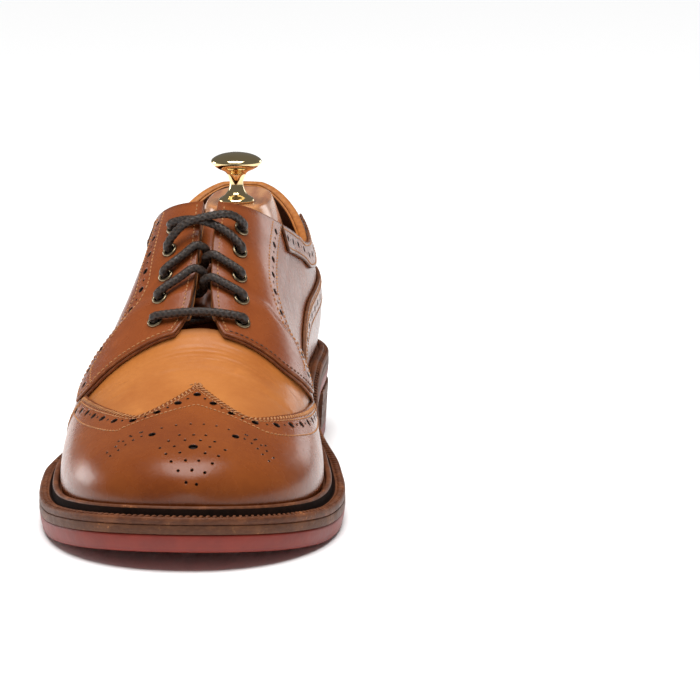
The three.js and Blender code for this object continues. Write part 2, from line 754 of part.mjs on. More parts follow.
/** Five eyelets of one facing: a barrel with a domed flange on top. */
function addEyelets(label, sign) {
  const barrel = EYELET_BORE + EYELET_WALL;
  for (const row of eyeletRows()) {
    const site = eyeletSite(row, sign);
    const profile = [
      [EYELET_BORE, EYELET_FOOT], [barrel, EYELET_FOOT], [barrel, site.top], [EYELET_FLANGE, site.top],
      [EYELET_BORE + 0.5, site.top + EYELET_DOME], [EYELET_BORE, site.top + EYELET_DOME / 3],
      [EYELET_BORE, EYELET_FOOT],
    ].map(([r, z]) => new THREE.Vector2(r, z));
    const ring = new THREE.LatheGeometry(profile, EYELET_FACETS);
    add(`eyelet_${label}_${row}`, aim(ring, site.normal, site.base), AGED_BRASS);
  }
}

/** Lace points through an eyelet, from below to above or the other way. */
function throughEyelet(row, sign, upwards) {
  const { at, top } = eyeletSite(row, sign);
  const stops = [at(-LACE_BELOW + 0.4), at(0.8), at(top - 0.3), at(top + 1.9)];
  return upwards ? stops : stops.reverse();
}

/** From the top of one eyelet into the gap and below the far facing to the next row up. */
function crossover(row, sign) {
  const { y } = eyeletRow(row);
  const up = eyeletRow(row - 1).y;
  const pass = mix(y, up, sign > 0 ? 0.34 : 0.68);
  const top = facingOuter(y, 0) + LACE_RADIUS;
  return [
    lastSite(mix(y, pass, 0.6), sign * 0.1, top + 0.6),
    lastSite(pass, sign * 0.04, top + 0.4),
    lastSite(pass, sign * 0.004, top - 2.2),
    lastSite(pass, -sign * 0.006, -0.2),
    lastSite(pass, -sign * 0.045, -LACE_BELOW - 0.5),
    lastSite(mix(pass, up, 0.5), -sign * 0.12, -LACE_BELOW - 0.2),
  ];
}

/** Below the gap from the throat row to the next row, the second strand under the first. */
function firstCrossing(sign, depth) {
  const low = eyeletRow(EYELET_ROWS).y;
  const next = eyeletRow(EYELET_ROWS - 1).y;
  return [
    lastSite(mix(low, next, 0.38), sign * 0.1, -BAR_BELOW - 0.1 - 0.6 * depth),
    lastSite(mix(low, next, 0.5), 0, -BAR_BELOW - depth),
    lastSite(mix(low, next, 0.62), -sign * 0.1, -BAR_BELOW - 0.1 - 0.6 * depth),
  ];
}

/** Over the gap from the second row to the top row, then down to the tucked end. */
function lastCrossing(sign, lift) {
  const first = eyeletRow(1).y;
  const second = eyeletRow(2).y;
  const arch = facingOuter(first, 0) + LACE_RADIUS + 1 + lift;
  return [
    ...throughEyelet(2, sign, true),
    lastSite(mix(second, first, 0.3), sign * 0.1, arch - 0.2),
    lastSite(mix(second, first, 0.5), 0, arch),
    lastSite(mix(second, first, 0.8), -sign * 0.1, arch - 0.2),
    ...throughEyelet(1, -sign, false),
    lastSite(first + 4, -sign * 0.2, -LACE_BELOW),
    lastSite(first + 10, -sign * 0.18, -LACE_BELOW),
  ];
}

/** Half of the lace: from the straight bar at the throat up to its tucked end. */
function laceHalf(startSign) {
  const depth = startSign > 0 ? 0 : LACE_PASS;
  const points = [...throughEyelet(EYELET_ROWS, startSign, false), ...firstCrossing(startSign, depth)];
  let sign = -startSign;
  for (let row = EYELET_ROWS - 1; row > 2; row -= 1) {
    points.push(...throughEyelet(row, sign, true), ...crossover(row, sign));
    sign = -sign;
  }
  points.push(...lastCrossing(sign, sign > 0 ? 0 : LACE_PASS + 0.1));
  return points;
}

/** Round cord along both halves and the bar between them. */
function laceGeometry() {
  const low = eyeletRow(EYELET_ROWS).y - 1;
  const bar = facingOuter(low + 1, 0) + LACE_RADIUS + 1;
  const middle = [lastSite(low, 0.12, bar), lastSite(low, 0, bar - 0.5), lastSite(low, -0.12, bar)];
  const points = [...laceHalf(1).reverse(), ...middle, ...laceHalf(-1)];
  const path = new THREE.CatmullRomCurve3(points, false, "centripetal");
  const section = new THREE.Shape([...Array(LACE_SIDES).keys()].map((i) => {
    const angle = (i / LACE_SIDES) * 2 * Math.PI;
    return new THREE.Vector2(LACE_RADIUS * Math.cos(angle), LACE_RADIUS * Math.sin(angle));
  }));
  return new THREE.ExtrudeGeometry(section, { steps: LACE_STEPS, extrudePath: path, bevelEnabled: false });
}

// ---------- Upper ----------
const PUFF_END = percent(15);
const TONGUE_START = percent(36.4);
const TONGUE_TIP = percent(57.2);
const TONGUE_SLOPE = percent(2.6);

/** Plain sheet between two constant distances from the last. */
const layer = (keeps, [low, high]) => sheet(cutPattern(keeps), level(low), level(high));

/** Sheet that is lifted where the vamp lies under it. */
const drapedLayer = (keeps, [low, high]) => sheet(cutPattern(keeps), draped(low), draped(high));

/** Tongue: deep under the facings, rising to meet the vamp lining at its front edge. */
function tongue() {
  const keeps = [behind(TONGUE_START), aheadOf(TONGUE_TIP), within(() => TONGUE_SHARE)];
  const rise = (v) => (STIFFENER[1] - TONGUE[1]) * (1 - clamp01((v.y - TONGUE_START) / TONGUE_SLOPE));
  return sheet(cutPattern(keeps), (v) => TONGUE[0] + rise(v), (v) => TONGUE[1] + rise(v));
}

function addUpper() {
  const beforeTail = (v) => quarterFront(v.across) + vampTail(v.across) - v.y;
  const beforeQuarter = (v) => quarterFront(v.across) - 1 - v.y;
  const belowCounter = (drop) => (v) => counterTop(v.y) - drop - v.point.z;
  const besideSeam = (v) => BACK_STRIP_HALF - Math.abs(v.point.x - centreLine(v.y));
  const stiffened = [behind(percent(80)), belowCounter(STIFFENER_DROP)];
  const stripped = [behind(percent(85)), besideSeam, belowTopline, aboveFeather(BACK_STRIP_FOOT)];
  add("vamp", layer([beforeTail], VAMP), VAMP_LEATHER);
  add("wing_cap", layer([beforeWing], OVERLAY), LEATHER);
  add("toe_puff", layer([aheadOf(PUFF_END)], STIFFENER), LINING_LEATHER);
  add("heel_stiffener", layer(stiffened, STIFFENER), LINING_LEATHER);
  add("vamp_lining", layer([beforeQuarter], LINING), LINING_LEATHER);
  add("tongue", tongue(), LEATHER);
  add("counter_foxing", drapedLayer([belowCounter(0), behind(percent(60.5))], OVERLAY), LEATHER);
  add("back_strip", layer(stripped, BACK_STRIP), LEATHER);
  for (const [label, sign] of Object.entries(SIDES)) addSide(label, sign);
}

/** Quarter, its lining, facing, topline band and eyelets of one side. */
function addSide(label, sign) {
  const holes = eyeletCutters(sign);
  const behindVamp = (v) => v.y - quarterFront(v.across) - 0.6 * vampTail(v.across) - 3;
  const behindFacing = (v) => Math.abs(v.across) - facingBack(v.y, sign) - 0.03;
  const besideTopline = (v) => v.point.z - topline(v.y) + TOPLINE_BAND;
  const lined = [side(sign), behindVamp, besideGap, belowTopline];
  const quarter = [side(sign), behindFront, besideGap, belowTopline];
  const faced = [...quarter, within(facingBack), aheadOf(percent(64))];
  const banded = [side(sign), behindFacing, belowTopline, besideTopline, aheadOf(percent(90))];
  add(`quarter_lining_${label}`, cut(layer(lined, LINING), holes), LINING_LEATHER);
  add(`quarter_${label}`, cut(drapedLayer(quarter, VAMP), holes), LEATHER);
  add(`facing_${label}`, cut(drapedLayer(faced, FACING), holes), LEATHER);
  add(`topline_band_${label}`, drapedLayer(banded, FACING), LEATHER);
  addEyelets(label, sign);
}

// ---------- Shoe tree ----------
const TUBE_DIRECTION = new THREE.Vector3(0, 1, TUBE_RISE).normalize();
const PIN_Y = percent(PIN_SHARE);
const pinPoint = new THREE.Vector3(TREE_X, PIN_Y, feather(PIN_Y) + PIN_HEIGHT);
const alongTube = (distance) => pinPoint.clone().addScaledVector(TUBE_DIRECTION, distance);
const tubeRadius = ROD_RADIUS + SLIDE_CLEARANCE + TUBE_WALL;

/** Rod on the tube's axis from one distance to another. */
const tubeRod = (radius, from, to) => aim(rod(radius, to - from), TUBE_DIRECTION, alongTube((from + to) / 2));

/** Solid lofted through rings of equal count, capped by fans at both ends. */
function loft(rings) {
  const n = rings[0].length;
  const positions = rings.flat(2);
  const indices = [];
  for (let i = 0; i + 1 < rings.length; i += 1) {
    for (let k = 0; k < n; k += 1) {
      const a = i * n + k;
      const b = i * n + (k + 1) % n;
      indices.push(a, b, a + n, b, b + n, a + n);
    }
  }
  for (const [ring, flip] of [[0, true], [rings.length - 1, false]]) {
    const centre = positions.length / 3;
    for (const axis of [0, 1, 2]) positions.push(rings[ring].reduce((sum, p) => sum + p[axis], 0) / n);
    for (let k = 0; k < n; k += 1) {
      const a = ring * n + k;
      const b = ring * n + (k + 1) % n;
      indices.push(centre, flip ? b : a, flip ? a : b);
    }
  }
  return geometryFrom(positions, indices);
}

/** One half of the toe block: the last shape drawn in, flat inside and below. */
function toeHalf(sign) {
  const shares = [0.22, 0.35, 0.48, 0.62, 0.76, 0.88, 0.96];
  const inner = TREE_X + sign * TREE_HALF_GAP;
  const clear = (x) => inner + sign * Math.max(1, sign * (x - inner));
  const stations = 9;
  const rings = [];
  for (let i = 0; i <= stations; i += 1) {
    const y = mix(percent(11), percent(44), i / stations);
    const floor = feather(y) + TREE_FLOOR;
    const skin = shares.map((share) => lastSite(y, sign * share, -TREE_CLEARANCE));
    const ring = skin.map((p) => [clear(p.x), p.y, Math.max(p.z, floor + 1)]);
    ring.push([ring.at(-1)[0], y, floor], [inner, y, floor], [inner, y, ring[0][2] - 2]);
    rings.push(sign > 0 ? ring : ring.reverse());
  }
  return loft(rings);
}

/** Point of a rounded rectangle of half size 1 at an angle. */
function superellipse(angle) {
  const bend = (value) => Math.sign(value) * Math.abs(value) ** (2 / 2.6);
  return [bend(Math.cos(angle)), bend(Math.sin(angle))];
}

/** Heel block: rounded sides that draw in towards a small flat top. */
function heelBlock() {
  const low = feather(percent(85)) + BLOCK_FLOOR;
  const levels = 5;
  const rings = [];
  for (let i = 0; i <= levels; i += 1) {
    const t = i / levels;
    const half = BLOCK_HALF_WIDTH * (1 - 0.44 * t ** 3 - 0.1 * (1 - t) ** 4);
    const ring = [...Array(BLOCK_FACETS).keys()].map((k) => {
      const [cx, cy] = superellipse((k / BLOCK_FACETS) * 2 * Math.PI);
      const reach = (BLOCK_HALF_LENGTH - (cy > 0 ? 0 : 4 * t)) * mix(1, 0.86, t * t);
      return [TREE_X + 1.4 * t + half * cx, percent(80) + 2 - 6 * t + reach * cy, mix(low, BLOCK_TOP, t)];
    });
    rings.push(ring);
  }
  return loft(rings);
}

const pinBore = () => crossRod(PIN_RADIUS + PIN_CLEARANCE, 14).translate(...pinPoint.toArray());

/** Cross rods at the two dowel places. */
function dowelRods(radius, length) {
  return DOWEL_SITES.map(({ share, height }) => {
    const y = percent(share);
    return crossRod(radius, length, 12).translate(TREE_X, y, feather(y) + height);
  });
}

/** Rod that slides in the tube, flattened to an eye round the hinge pin. */
function springRod() {
  const eye = crossRod(EYE_RADIUS, 2 * ROD_FLAT).translate(...pinPoint.toArray());
  const flats = [1, -1].map((s) => {
    return block(4, 22, 22).translate(pinPoint.x + s * (ROD_FLAT + 2), pinPoint.y + 3, pinPoint.z);
  });
  return cut(join([eye, tubeRod(ROD_RADIUS, ROD_START, ROD_START + ROD_LENGTH)]), [...flats, pinBore()]);
}

/** Fork that carries the hinge pin, on a bar between the toe halves. */
function yoke() {
  const barMiddle = percent(26.5);
  const bar = block(YOKE_BAR.width, percent(20), YOKE_BAR.height);
  const bridge = block(YOKE_BRIDGE.width, YOKE_BRIDGE.length, YOKE_BRIDGE.height);
  const cheeks = [1, -1].map((s) => {
    const cheek = block(YOKE_CHEEK.thick, YOKE_CHEEK.length, YOKE_CHEEK.height);
    return cheek.translate(pinPoint.x + s * YOKE_CHEEK.offset, pinPoint.y - 5, pinPoint.z - 4);
  });
  bar.translate(pinPoint.x, barMiddle, pinPoint.z - 10);
  bridge.translate(pinPoint.x, pinPoint.y - YOKE_BRIDGE.back, pinPoint.z - 8);
  return cut(join([bar, bridge, ...cheeks]), [...dowelRods(DOWEL_RADIUS + DOWEL_FIT, 20), pinBore()]);
}

/** Knob with a concave top on a waisted neck, screwed into the heel block. */
function addKnob() {
  const base = BLOCK_TOP + 0.2;
  const top = base + KNOB_HEIGHT;
  const rim = top - 3.6;
  const y = percent(KNOB_SHARE);
  const profile = [
    [0, base], [7.8, base], [7.6, base + 1.6], [4.6, base + 3.6], [3.1, base + 7], [3.3, base + 10],
    [5.4, rim - 4.4], [KNOB_RADIUS - 1, rim - 1.2], [KNOB_RADIUS, rim],
    [KNOB_RADIUS - 0.9, rim + 1.4], [6.5, top - 0.6], [0, top],
  ].map(([r, z]) => new THREE.Vector2(r, z));
  const knob = new THREE.LatheGeometry(profile, 20).rotateX(Math.PI / 2);
  add("tree_knob", knob.translate(KNOB_X, y, 0), BRASS);
  const stud = uprightRod(STUD_RADIUS, STUD_LENGTH).translate(KNOB_X, y, BLOCK_TOP - STUD_LENGTH / 2 - 0.2);
  add("knob_stud", stud, STEEL);
}

function addTree() {
  const bores = () => dowelRods(DOWEL_RADIUS + DOWEL_CLEARANCE, 40);
  add("tree_toe_medial", cut(toeHalf(1), bores()), VARNISHED_WOOD);
  add("tree_toe_lateral", cut(toeHalf(-1), bores()), VARNISHED_WOOD);
  const pocket = tubeRod(tubeRadius + POCKET_CLEARANCE, POCKET_START, POCKET_START + 90);
  const studHole = uprightRod(STUD_RADIUS + POCKET_CLEARANCE, 20);
  studHole.translate(KNOB_X, percent(KNOB_SHARE), BLOCK_TOP);
  add("tree_heel_block", cut(heelBlock(), [pocket, studHole]), VARNISHED_WOOD);
  const tube = tubeRod(tubeRadius, TUBE_START, TUBE_START + TUBE_LENGTH);
  const bore = tubeRod(ROD_RADIUS + SLIDE_CLEARANCE, TUBE_START - 3, TUBE_START + TUBE_LENGTH - 5);
  add("tree_tube", cut(tube, [bore]), BRASS);
  add("tree_rod", springRod(), STEEL);
  add("tree_yoke", yoke(), STEEL);
  add("hinge_pin", crossRod(PIN_RADIUS, PIN_LENGTH).translate(...pinPoint.toArray()), STEEL);
  dowelRods(DOWEL_RADIUS, DOWEL_LENGTH).forEach((dowel, i) => add(`toe_dowel_${i + 1}`, dowel, BRASS));
  addKnob();
}

/** Put the middle of the footprint on the origin and the lowest point at height zero. */
function settle() {
  const box = new THREE.Box3();
  for (const mesh of shoe.children) {
    mesh.geometry.computeBoundingBox();
    box.union(mesh.geometry.boundingBox);
  }
  const centre = box.getCenter(new THREE.Vector3());
  for (const mesh of shoe.children) mesh.geometry.translate(-centre.x, -centre.y, -box.min.z);
}

addBottom();
addHeel();
addUpper();
add("lace", laceGeometry(), LACE_CORD);
addTree();
settle();

export default shoe;
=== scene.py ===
"""Looks of a brogued derby shoe on its sprung shoe tree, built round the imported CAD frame."""

import logging
import math
from dataclasses import dataclass
from enum import Enum
from typing import Callable, Sequence

import bmesh
import bpy
import numpy as np
from mathutils import Matrix, Vector
from mathutils.kdtree import KDTree


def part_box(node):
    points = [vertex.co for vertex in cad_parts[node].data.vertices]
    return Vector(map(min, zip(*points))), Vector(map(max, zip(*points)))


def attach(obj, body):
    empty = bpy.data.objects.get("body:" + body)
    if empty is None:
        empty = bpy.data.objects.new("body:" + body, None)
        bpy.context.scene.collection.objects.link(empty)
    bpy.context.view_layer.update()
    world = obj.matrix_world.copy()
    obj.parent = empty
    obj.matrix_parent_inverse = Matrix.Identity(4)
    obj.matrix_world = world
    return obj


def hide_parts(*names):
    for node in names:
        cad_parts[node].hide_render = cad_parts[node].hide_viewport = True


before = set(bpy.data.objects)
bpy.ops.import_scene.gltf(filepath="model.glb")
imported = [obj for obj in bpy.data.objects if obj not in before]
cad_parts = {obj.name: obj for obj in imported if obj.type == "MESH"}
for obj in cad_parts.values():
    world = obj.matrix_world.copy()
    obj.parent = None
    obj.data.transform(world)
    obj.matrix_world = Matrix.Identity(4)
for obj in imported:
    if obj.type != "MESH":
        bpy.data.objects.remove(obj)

Array = np.ndarray
LOG = logging.getLogger("shoe")
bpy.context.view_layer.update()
MM = 0.001
LENGTH = 318.0
TINY = 1e-9
EYELET_ROWS = range(1, 6)
STITCH_PITCH = 2.2
HOLE_PITCH = 5.2
HOLE_RADII = (1.45, 0.55)
THREAD_LIFT = 0.08
FACING_TOP = 5.2


def percent(share: float) -> float:
    """Length along the sole in millimetres for a share in percent."""
    return share / 100 * LENGTH


def ramp(low: float, high: float, value: Array) -> Array:
    """Smooth step from 0 at low to 1 at high."""
    t = np.clip((value - low) / (high - low), 0, 1)
    return t * t * (3 - 2 * t)


def unit(vectors: Array) -> Array:
    """Vectors along the last axis, scaled to length 1."""
    return vectors / np.maximum(np.linalg.norm(vectors, axis=-1, keepdims=True), TINY)


def running_length(points: Array) -> Array:
    """Length along a line of points, 0 at its start."""
    return np.concatenate([[0], np.cumsum(np.linalg.norm(np.diff(points, axis=0), axis=1))])


def round_angles(sides: int) -> Array:
    """Angles of a regular polygon's corners."""
    return np.arange(sides) / sides * 2 * np.pi


def tube_sides(rings: int, sides: int) -> list[list[int]]:
    """Faces of an open tube whose vertices are numbered ring by ring."""
    return [
        [i * sides + k, i * sides + (k + 1) % sides, (i + 1) * sides + (k + 1) % sides, (i + 1) * sides + k]
        for i in range(rings - 1) for k in range(sides)
    ]


def tube_faces(rings: int, sides: int) -> list[list[int]]:
    """Faces of a tube with a cap at each end."""
    last = (rings - 1) * sides
    return [*tube_sides(rings, sides), list(range(sides))[::-1], list(range(last, last + sides))]


def monotone(points: Sequence[tuple[float, float]]) -> Callable[[Array], Array]:
    """Monotone cubic through points, constant beyond its ends.

    Args:
        points: Positions and values in rising order of position.

    Returns:
        A function of position.
    """
    x, v = np.array(points, float).T
    slope = np.diff(v) / np.diff(x)
    tangent = np.zeros(len(x))
    tangent[0], tangent[-1] = slope[0], slope[-1]
    for i in range(1, len(x) - 1):
        if slope[i - 1] * slope[i] > 0:
            before, after = x[i] - x[i - 1], x[i + 1] - x[i]
            w0, w1 = 2 * after + before, after + 2 * before
            tangent[i] = (w0 + w1) / (w0 / slope[i - 1] + w1 / slope[i])

    def value(at: Array) -> Array:
        """Value at a position."""
        at = np.asarray(at, float)
        k = np.clip(np.searchsorted(x, at) - 1, 0, len(x) - 2)
        h = x[k + 1] - x[k]
        t = np.clip((at - x[k]) / h, 0, 1)
        ends = (2 * t**3 - 3 * t**2 + 1) * v[k] + (3 * t**2 - 2 * t**3) * v[k + 1]
        return ends + h * ((t**3 - 2 * t**2 + t) * tangent[k] + (t**3 - t**2) * tangent[k + 1])

    return value


def along_length(*points: tuple[float, float]) -> Callable[[Array], Array]:
    """Monotone cubic whose positions are shares of the length in percent."""
    return monotone([(percent(share), value) for share, value in points])


@dataclass(frozen=True)
class SidePlan:
    """Plan shape of one side of the last, in millimetres."""

    ball: tuple[float, float]
    heel: tuple[float, float]
    waist: tuple[tuple[float, float], ...]
    blunt: float
    rounding: float


class Last:
    """The wooden form that the upper is pulled over: it gives every surface point and normal."""

    toe = percent(4.56)
    heel = percent(96.9)
    breast = percent(74.8)
    margin = 1.05
    margin_drop = 1.1
    ply = 13.8
    lift = 1.6

    def __init__(self) -> None:
        """Set up the length curves and the place of the frame."""
        self.sole_under = along_length(
            (0, 8.1), (7.9, 4.212), (17.3, 0.972), (27.7, 0), (38.4, 0), (47.2, 3.01), (58.2, 11.49),
            (67.6, 20.0), (74.8, 23.7), (100, 23.7),
        )
        self.top = along_length(
            (4.56, 34.6), (6.3, 36.6), (9.4, 39.4), (15.7, 44.4), (22, 49.6), (26.1, 53.4), (31.4, 60.3),
            (37.1, 71.3), (44, 90), (50.3, 108), (58.2, 124), (67.6, 135), (78.6, 141), (96.3, 138),
        )
        self.power = along_length(
            (4.56, 2.3), (12.6, 2.3), (25.2, 2.15), (37.1, 1.95), (50.3, 1.85), (69.2, 2.05), (96.3, 2.3)
        )
        self.centre = along_length(
            (0, 6), (9.4, 5.2), (26.1, 2.2), (37.7, -0.2), (47.2, -1.2), (56.6, -0.8), (66, 0), (100, 0)
        )
        self.lateral = self._side(SidePlan(
            (percent(37.1), 51.46), (percent(82.4), 31.5),
            ((percent(47.2), 45.31), (percent(59.7), 36.96), (percent(70.8), 32.54)), 3.1, 2.25,
        ))
        self.medial = self._side(SidePlan(
            (percent(29.9), 44.54), (percent(82.4), 31.0),
            ((percent(40.9), 42.43), (percent(55), 33.12), (percent(67.6), 30.34)), 2.35, 2.05,
        ))
        low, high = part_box("hinge_pin")
        middle = (np.array(low) + np.array(high)) / 2 / MM
        self.shift = np.array([middle[0] - 1.8, middle[1] - percent(40.25), 0.0])

    def _side(self, plan: SidePlan) -> Callable[[Array], Array]:
        """Half width of one side as a function of the length."""
        (ball, ball_half), (heel, heel_half) = plan.ball, plan.heel
        middle = monotone([
            (ball - 20, ball_half), (ball, ball_half), *plan.waist, (heel, heel_half), (heel + 20, heel_half)
        ])

        def half(y: Array) -> Array:
            """Half width at a place along the length."""
            u = np.clip((y - self.toe) / (ball - self.toe), 0, 1)
            v = np.clip((y - heel) / (self.heel - heel), 0, 1)
            front = ball_half * (1 - (1 - u) ** plan.blunt) ** (1 / plan.rounding)
            back = heel_half * np.sqrt(np.maximum(0, 1 - v**2.4))
            return np.where(y < ball, front, np.where(y <= heel, middle(y), back))

        return half

    def welt_top(self, y: Array) -> Array:
        """Height of the welt's upper face."""
        return self.sole_under(y) + self.ply

    def feather(self, y: Array) -> Array:
        """Height of the last's lower edge."""
        return self.welt_top(y) + self.lift

    def point(self, y: Array, across: Array) -> Array:
        """Points of the last.

        Args:
            y: Places along the length in millimetres.
            across: -1 at the lateral edge over 0 on the ridge to 1 at the medial edge.

        Returns:
            Points in sole millimetres, one more axis than the arguments.
        """
        y, across = np.broadcast_arrays(np.asarray(y, float), np.asarray(across, float))
        side = np.sign(across)
        angle = np.minimum(1, np.abs(across)) * np.pi / 2
        power = self.power(y)
        sin, cos = np.sin(angle), np.maximum(0, np.cos(angle))
        rho = (sin**power + cos**power) ** (1 / power)
        half = np.where(side > 0, self.medial(y), self.lateral(y))
        v = np.clip((y - self.toe) / 14, 0, 1)
        ridge = self.top(y) - 6.5 * (1 - np.sqrt(1 - (1 - v) ** 2)) - self.feather(y)
        height = ridge * cos / rho
        bulge = (1.6 + 1.6 * ramp(percent(60), percent(82), y)) * sin * np.minimum(1, half / 20)
        wall = np.sin(np.pi * np.clip(height / np.minimum(0.9 * ridge, 55), 0, 1))
        x = side * (half * sin / rho + bulge * wall)
        foot = np.clip(1 - height / 18, 0, 1)
        top = np.clip((height - 18) / 50, 0, 2)
        lean = (1.2 * foot**2 + 6.5 * top**2) * ramp(percent(67.6), percent(94.3), y)
        skew = 0.03 * x * (1 - ramp(percent(6.3), percent(31.4), y))
        drop = np.maximum(0, np.abs(across) - 1) / (self.margin - 1) * self.margin_drop
        return np.stack([x + self.centre(y), y - lean + skew, self.feather(y) + height - drop], -1)

    def turn(self, y: Array) -> Array:
        """Turn along the last, 0 at the toe fold and 1 at the heel fold."""
        share = np.clip((np.asarray(y, float) - self.toe) / (self.heel - self.toe), 0, 1)
        return np.arccos(1 - 2 * share) / np.pi

    def station(self, turn: Array) -> Array:
        """Place along the length for a turn."""
        return self.toe + (self.heel - self.toe) * (1 - np.cos(np.pi * np.asarray(turn, float))) / 2

    def folded(self, turn: Array, across: Array) -> Array:
        """Points for turns that may run over the toe or heel fold onto the other side."""
        over = (turn < 0) | (turn > 1)
        inside = np.where(turn < 0, -turn, np.where(turn > 1, 2 - turn, turn))
        return self.point(self.station(inside), np.where(over, -across, across))

    def normal(self, y: Array, across: Array) -> Array:
        """Outward unit normals of the last."""
        y, across = np.broadcast_arrays(np.asarray(y, float), np.asarray(across, float))
        turn = self.turn(y)
        step = 0.004
        a = np.clip(across, -0.99, 0.99)
        a = np.where((turn < 0.002) & (np.abs(a) < 0.03), 0.03, a)
        along = self.folded(turn + step, a) - self.folded(turn - step, a)
        around = self.folded(turn, a + step) - self.folded(turn, a - step)
        n = unit(np.cross(around, along))
        level = n.copy()
        level[..., 2] = 0
        level = unit(level)
        level[..., 2] = level[..., 1] * (self.feather(y + 1) - self.feather(y - 4)) / 5
        return np.where((np.abs(across) >= 1)[..., None], level, n)

    def site(self, y: Array, across: Array, distance: Array) -> Array:
        """Points at a distance from the last, in sole millimetres."""
        distance = np.asarray(distance, float)
        return self.point(y, across) + self.normal(y, across) * distance[..., None]

    def across_at(self, y: Array, height: Array, sign: Array | float) -> Array:
        """Share across at which the last has a given height."""
        low, high = np.zeros_like(y), np.ones_like(y)
        for _ in range(26):
            middle = (low + high) / 2
            above = self.point(y, sign * middle)[..., 2] > height
            low, high = np.where(above, middle, low), np.where(above, high, middle)
        return (low + high) / 2

    def to_frame(self, points: Array) -> Array:
        """Sole millimetres to metres in the frame."""
        return (points + self.shift) * MM


LAST = Last()


class Side(Enum):
    """The two sides of the shoe."""

    LATERAL = -1
    MEDIAL = 1

    @property
    def label(self) -> str:
        """Name used in the names of pieces."""
        return self.name.lower()


# ---------------------------------------------------------------- pattern lines
OVERLAY_STEP = 1.7
topline = along_length(
    (52.5, 116.7), (55, 114), (58.8, 109.2), (62.3, 105.2), (73.9, 93.7), (77.4, 89), (82, 87.5),
    (89.6, 96), (96.3, 108),
)
counter_top = along_length((57, 34), (64, 58), (72, 67), (83, 70), (96.3, 76))


def wing_edge(across: Array) -> Array:
    """Back edge of the wing cap along the length."""
    a = np.abs(across)
    low = percent(18.9)
    peak = low + percent(7.2) * np.clip(1 - a / 0.3, 0, 1) ** 1.6
    medial = low + percent(7.74) * (np.maximum(0, a - 0.3) / 0.232) ** 1.55
    lateral = low + percent(8.5) * (np.maximum(0, a - 0.3) / 0.2) ** 1.35
    return np.where(a < 0.3, peak, np.where(across > 0, medial, lateral))


def band_line(across: Array) -> Array:
    """Front stitch line of the brogue band on the wing cap."""
    a = np.abs(across)
    peak = 52.5 + 11.5 * np.clip(1 - a / 0.4, 0, 1) ** 1.5
    medial = 52.5 + 26.3 * (np.maximum(0, a - 0.4) / 0.25) ** 2
    lateral = 51.5 + 40 * (np.maximum(0, a - 0.4) / 0.25) ** 1.6
    return np.where(a < 0.4, peak, np.where(across > 0, medial, lateral))


def quarter_front(across: Array) -> Array:
    """Front edge of the quarters along the length."""
    a = np.abs(across)
    start = np.where(across > 0, 0.45, 0.55)
    forward = np.where(across > 0, 0, percent(3.5) * np.maximum(0, a - 0.15))
    return percent(36) - forward + percent(38) * np.maximum(0, a - start) ** 1.6


def facing_gap(y: Array) -> Array:
    """Half the gap between the facings as a share of the section."""
    return 0.038 + (0.092 - 0.038) * np.exp((percent(37.3) - y) / percent(2.7))


def facing_back(y: Array, side: Side) -> Array:
    """Back edge of a facing as a share of the section."""
    if side is Side.MEDIAL:
        return 0.5 + 0.22 * ramp(percent(50), percent(42.5), y)
    return 0.4 + 0.28 * ramp(percent(46.5), percent(39), y)


def vamp_tail(across: Array) -> Array:
    """How far the vamp runs under the quarters."""
    return 3.5 + 3.5 * ramp(0.22, 0.4, np.abs(across))


def drape(y: Array, across: Array) -> Array:
    """How much the vamp lifts a quarter: 1 on the vamp, 0 behind it."""
    edge = quarter_front(across) + vamp_tail(across)
    return 1 - ramp(1.0, 2.0, 1 + (y - edge - 14) / 8)


# ---------------------------------------------------------------- shader maths
class Sock:
    """A shader value with Python operators; each adds a Math node."""

    def __init__(self, kit: "Nodes", link: bpy.types.NodeSocket) -> None:
        """Wrap an output socket of a node."""
        self.kit = kit
        self.link = link

    def _math(self, operation: str, *values: "Sock | float") -> "Sock":
        """Add one Math node."""
        return self.kit.add("ShaderNodeMath", {"operation": operation}, *values)

    def __add__(self, other: "Sock | float") -> "Sock":
        """Sum."""
        return self._math("ADD", self, other)

    def __sub__(self, other: "Sock | float") -> "Sock":
        """Difference."""
        return self._math("SUBTRACT", self, other)

    def __rsub__(self, other: "Sock | float") -> "Sock":
        """Difference from a number."""
        return self._math("SUBTRACT", other, self)

    def __mul__(self, other: "Sock | float") -> "Sock":
        """Product."""
        return self._math("MULTIPLY", self, other)

    def __truediv__(self, other: "Sock | float") -> "Sock":
        """Quotient."""
        return self._math("DIVIDE", self, other)

    def above(self, low: float, high: float) -> "Sock":
        """Smooth mask from 0 at low to 1 at high."""
        node = self.kit.raw("ShaderNodeMapRange", {"interpolation_type": "SMOOTHSTEP"})
        self.kit.feed(node, {"Value": self, "From Min": low, "From Max": high})
        return Sock(self.kit, node.outputs["Result"])

    __radd__ = __add__
    __rmul__ = __mul__


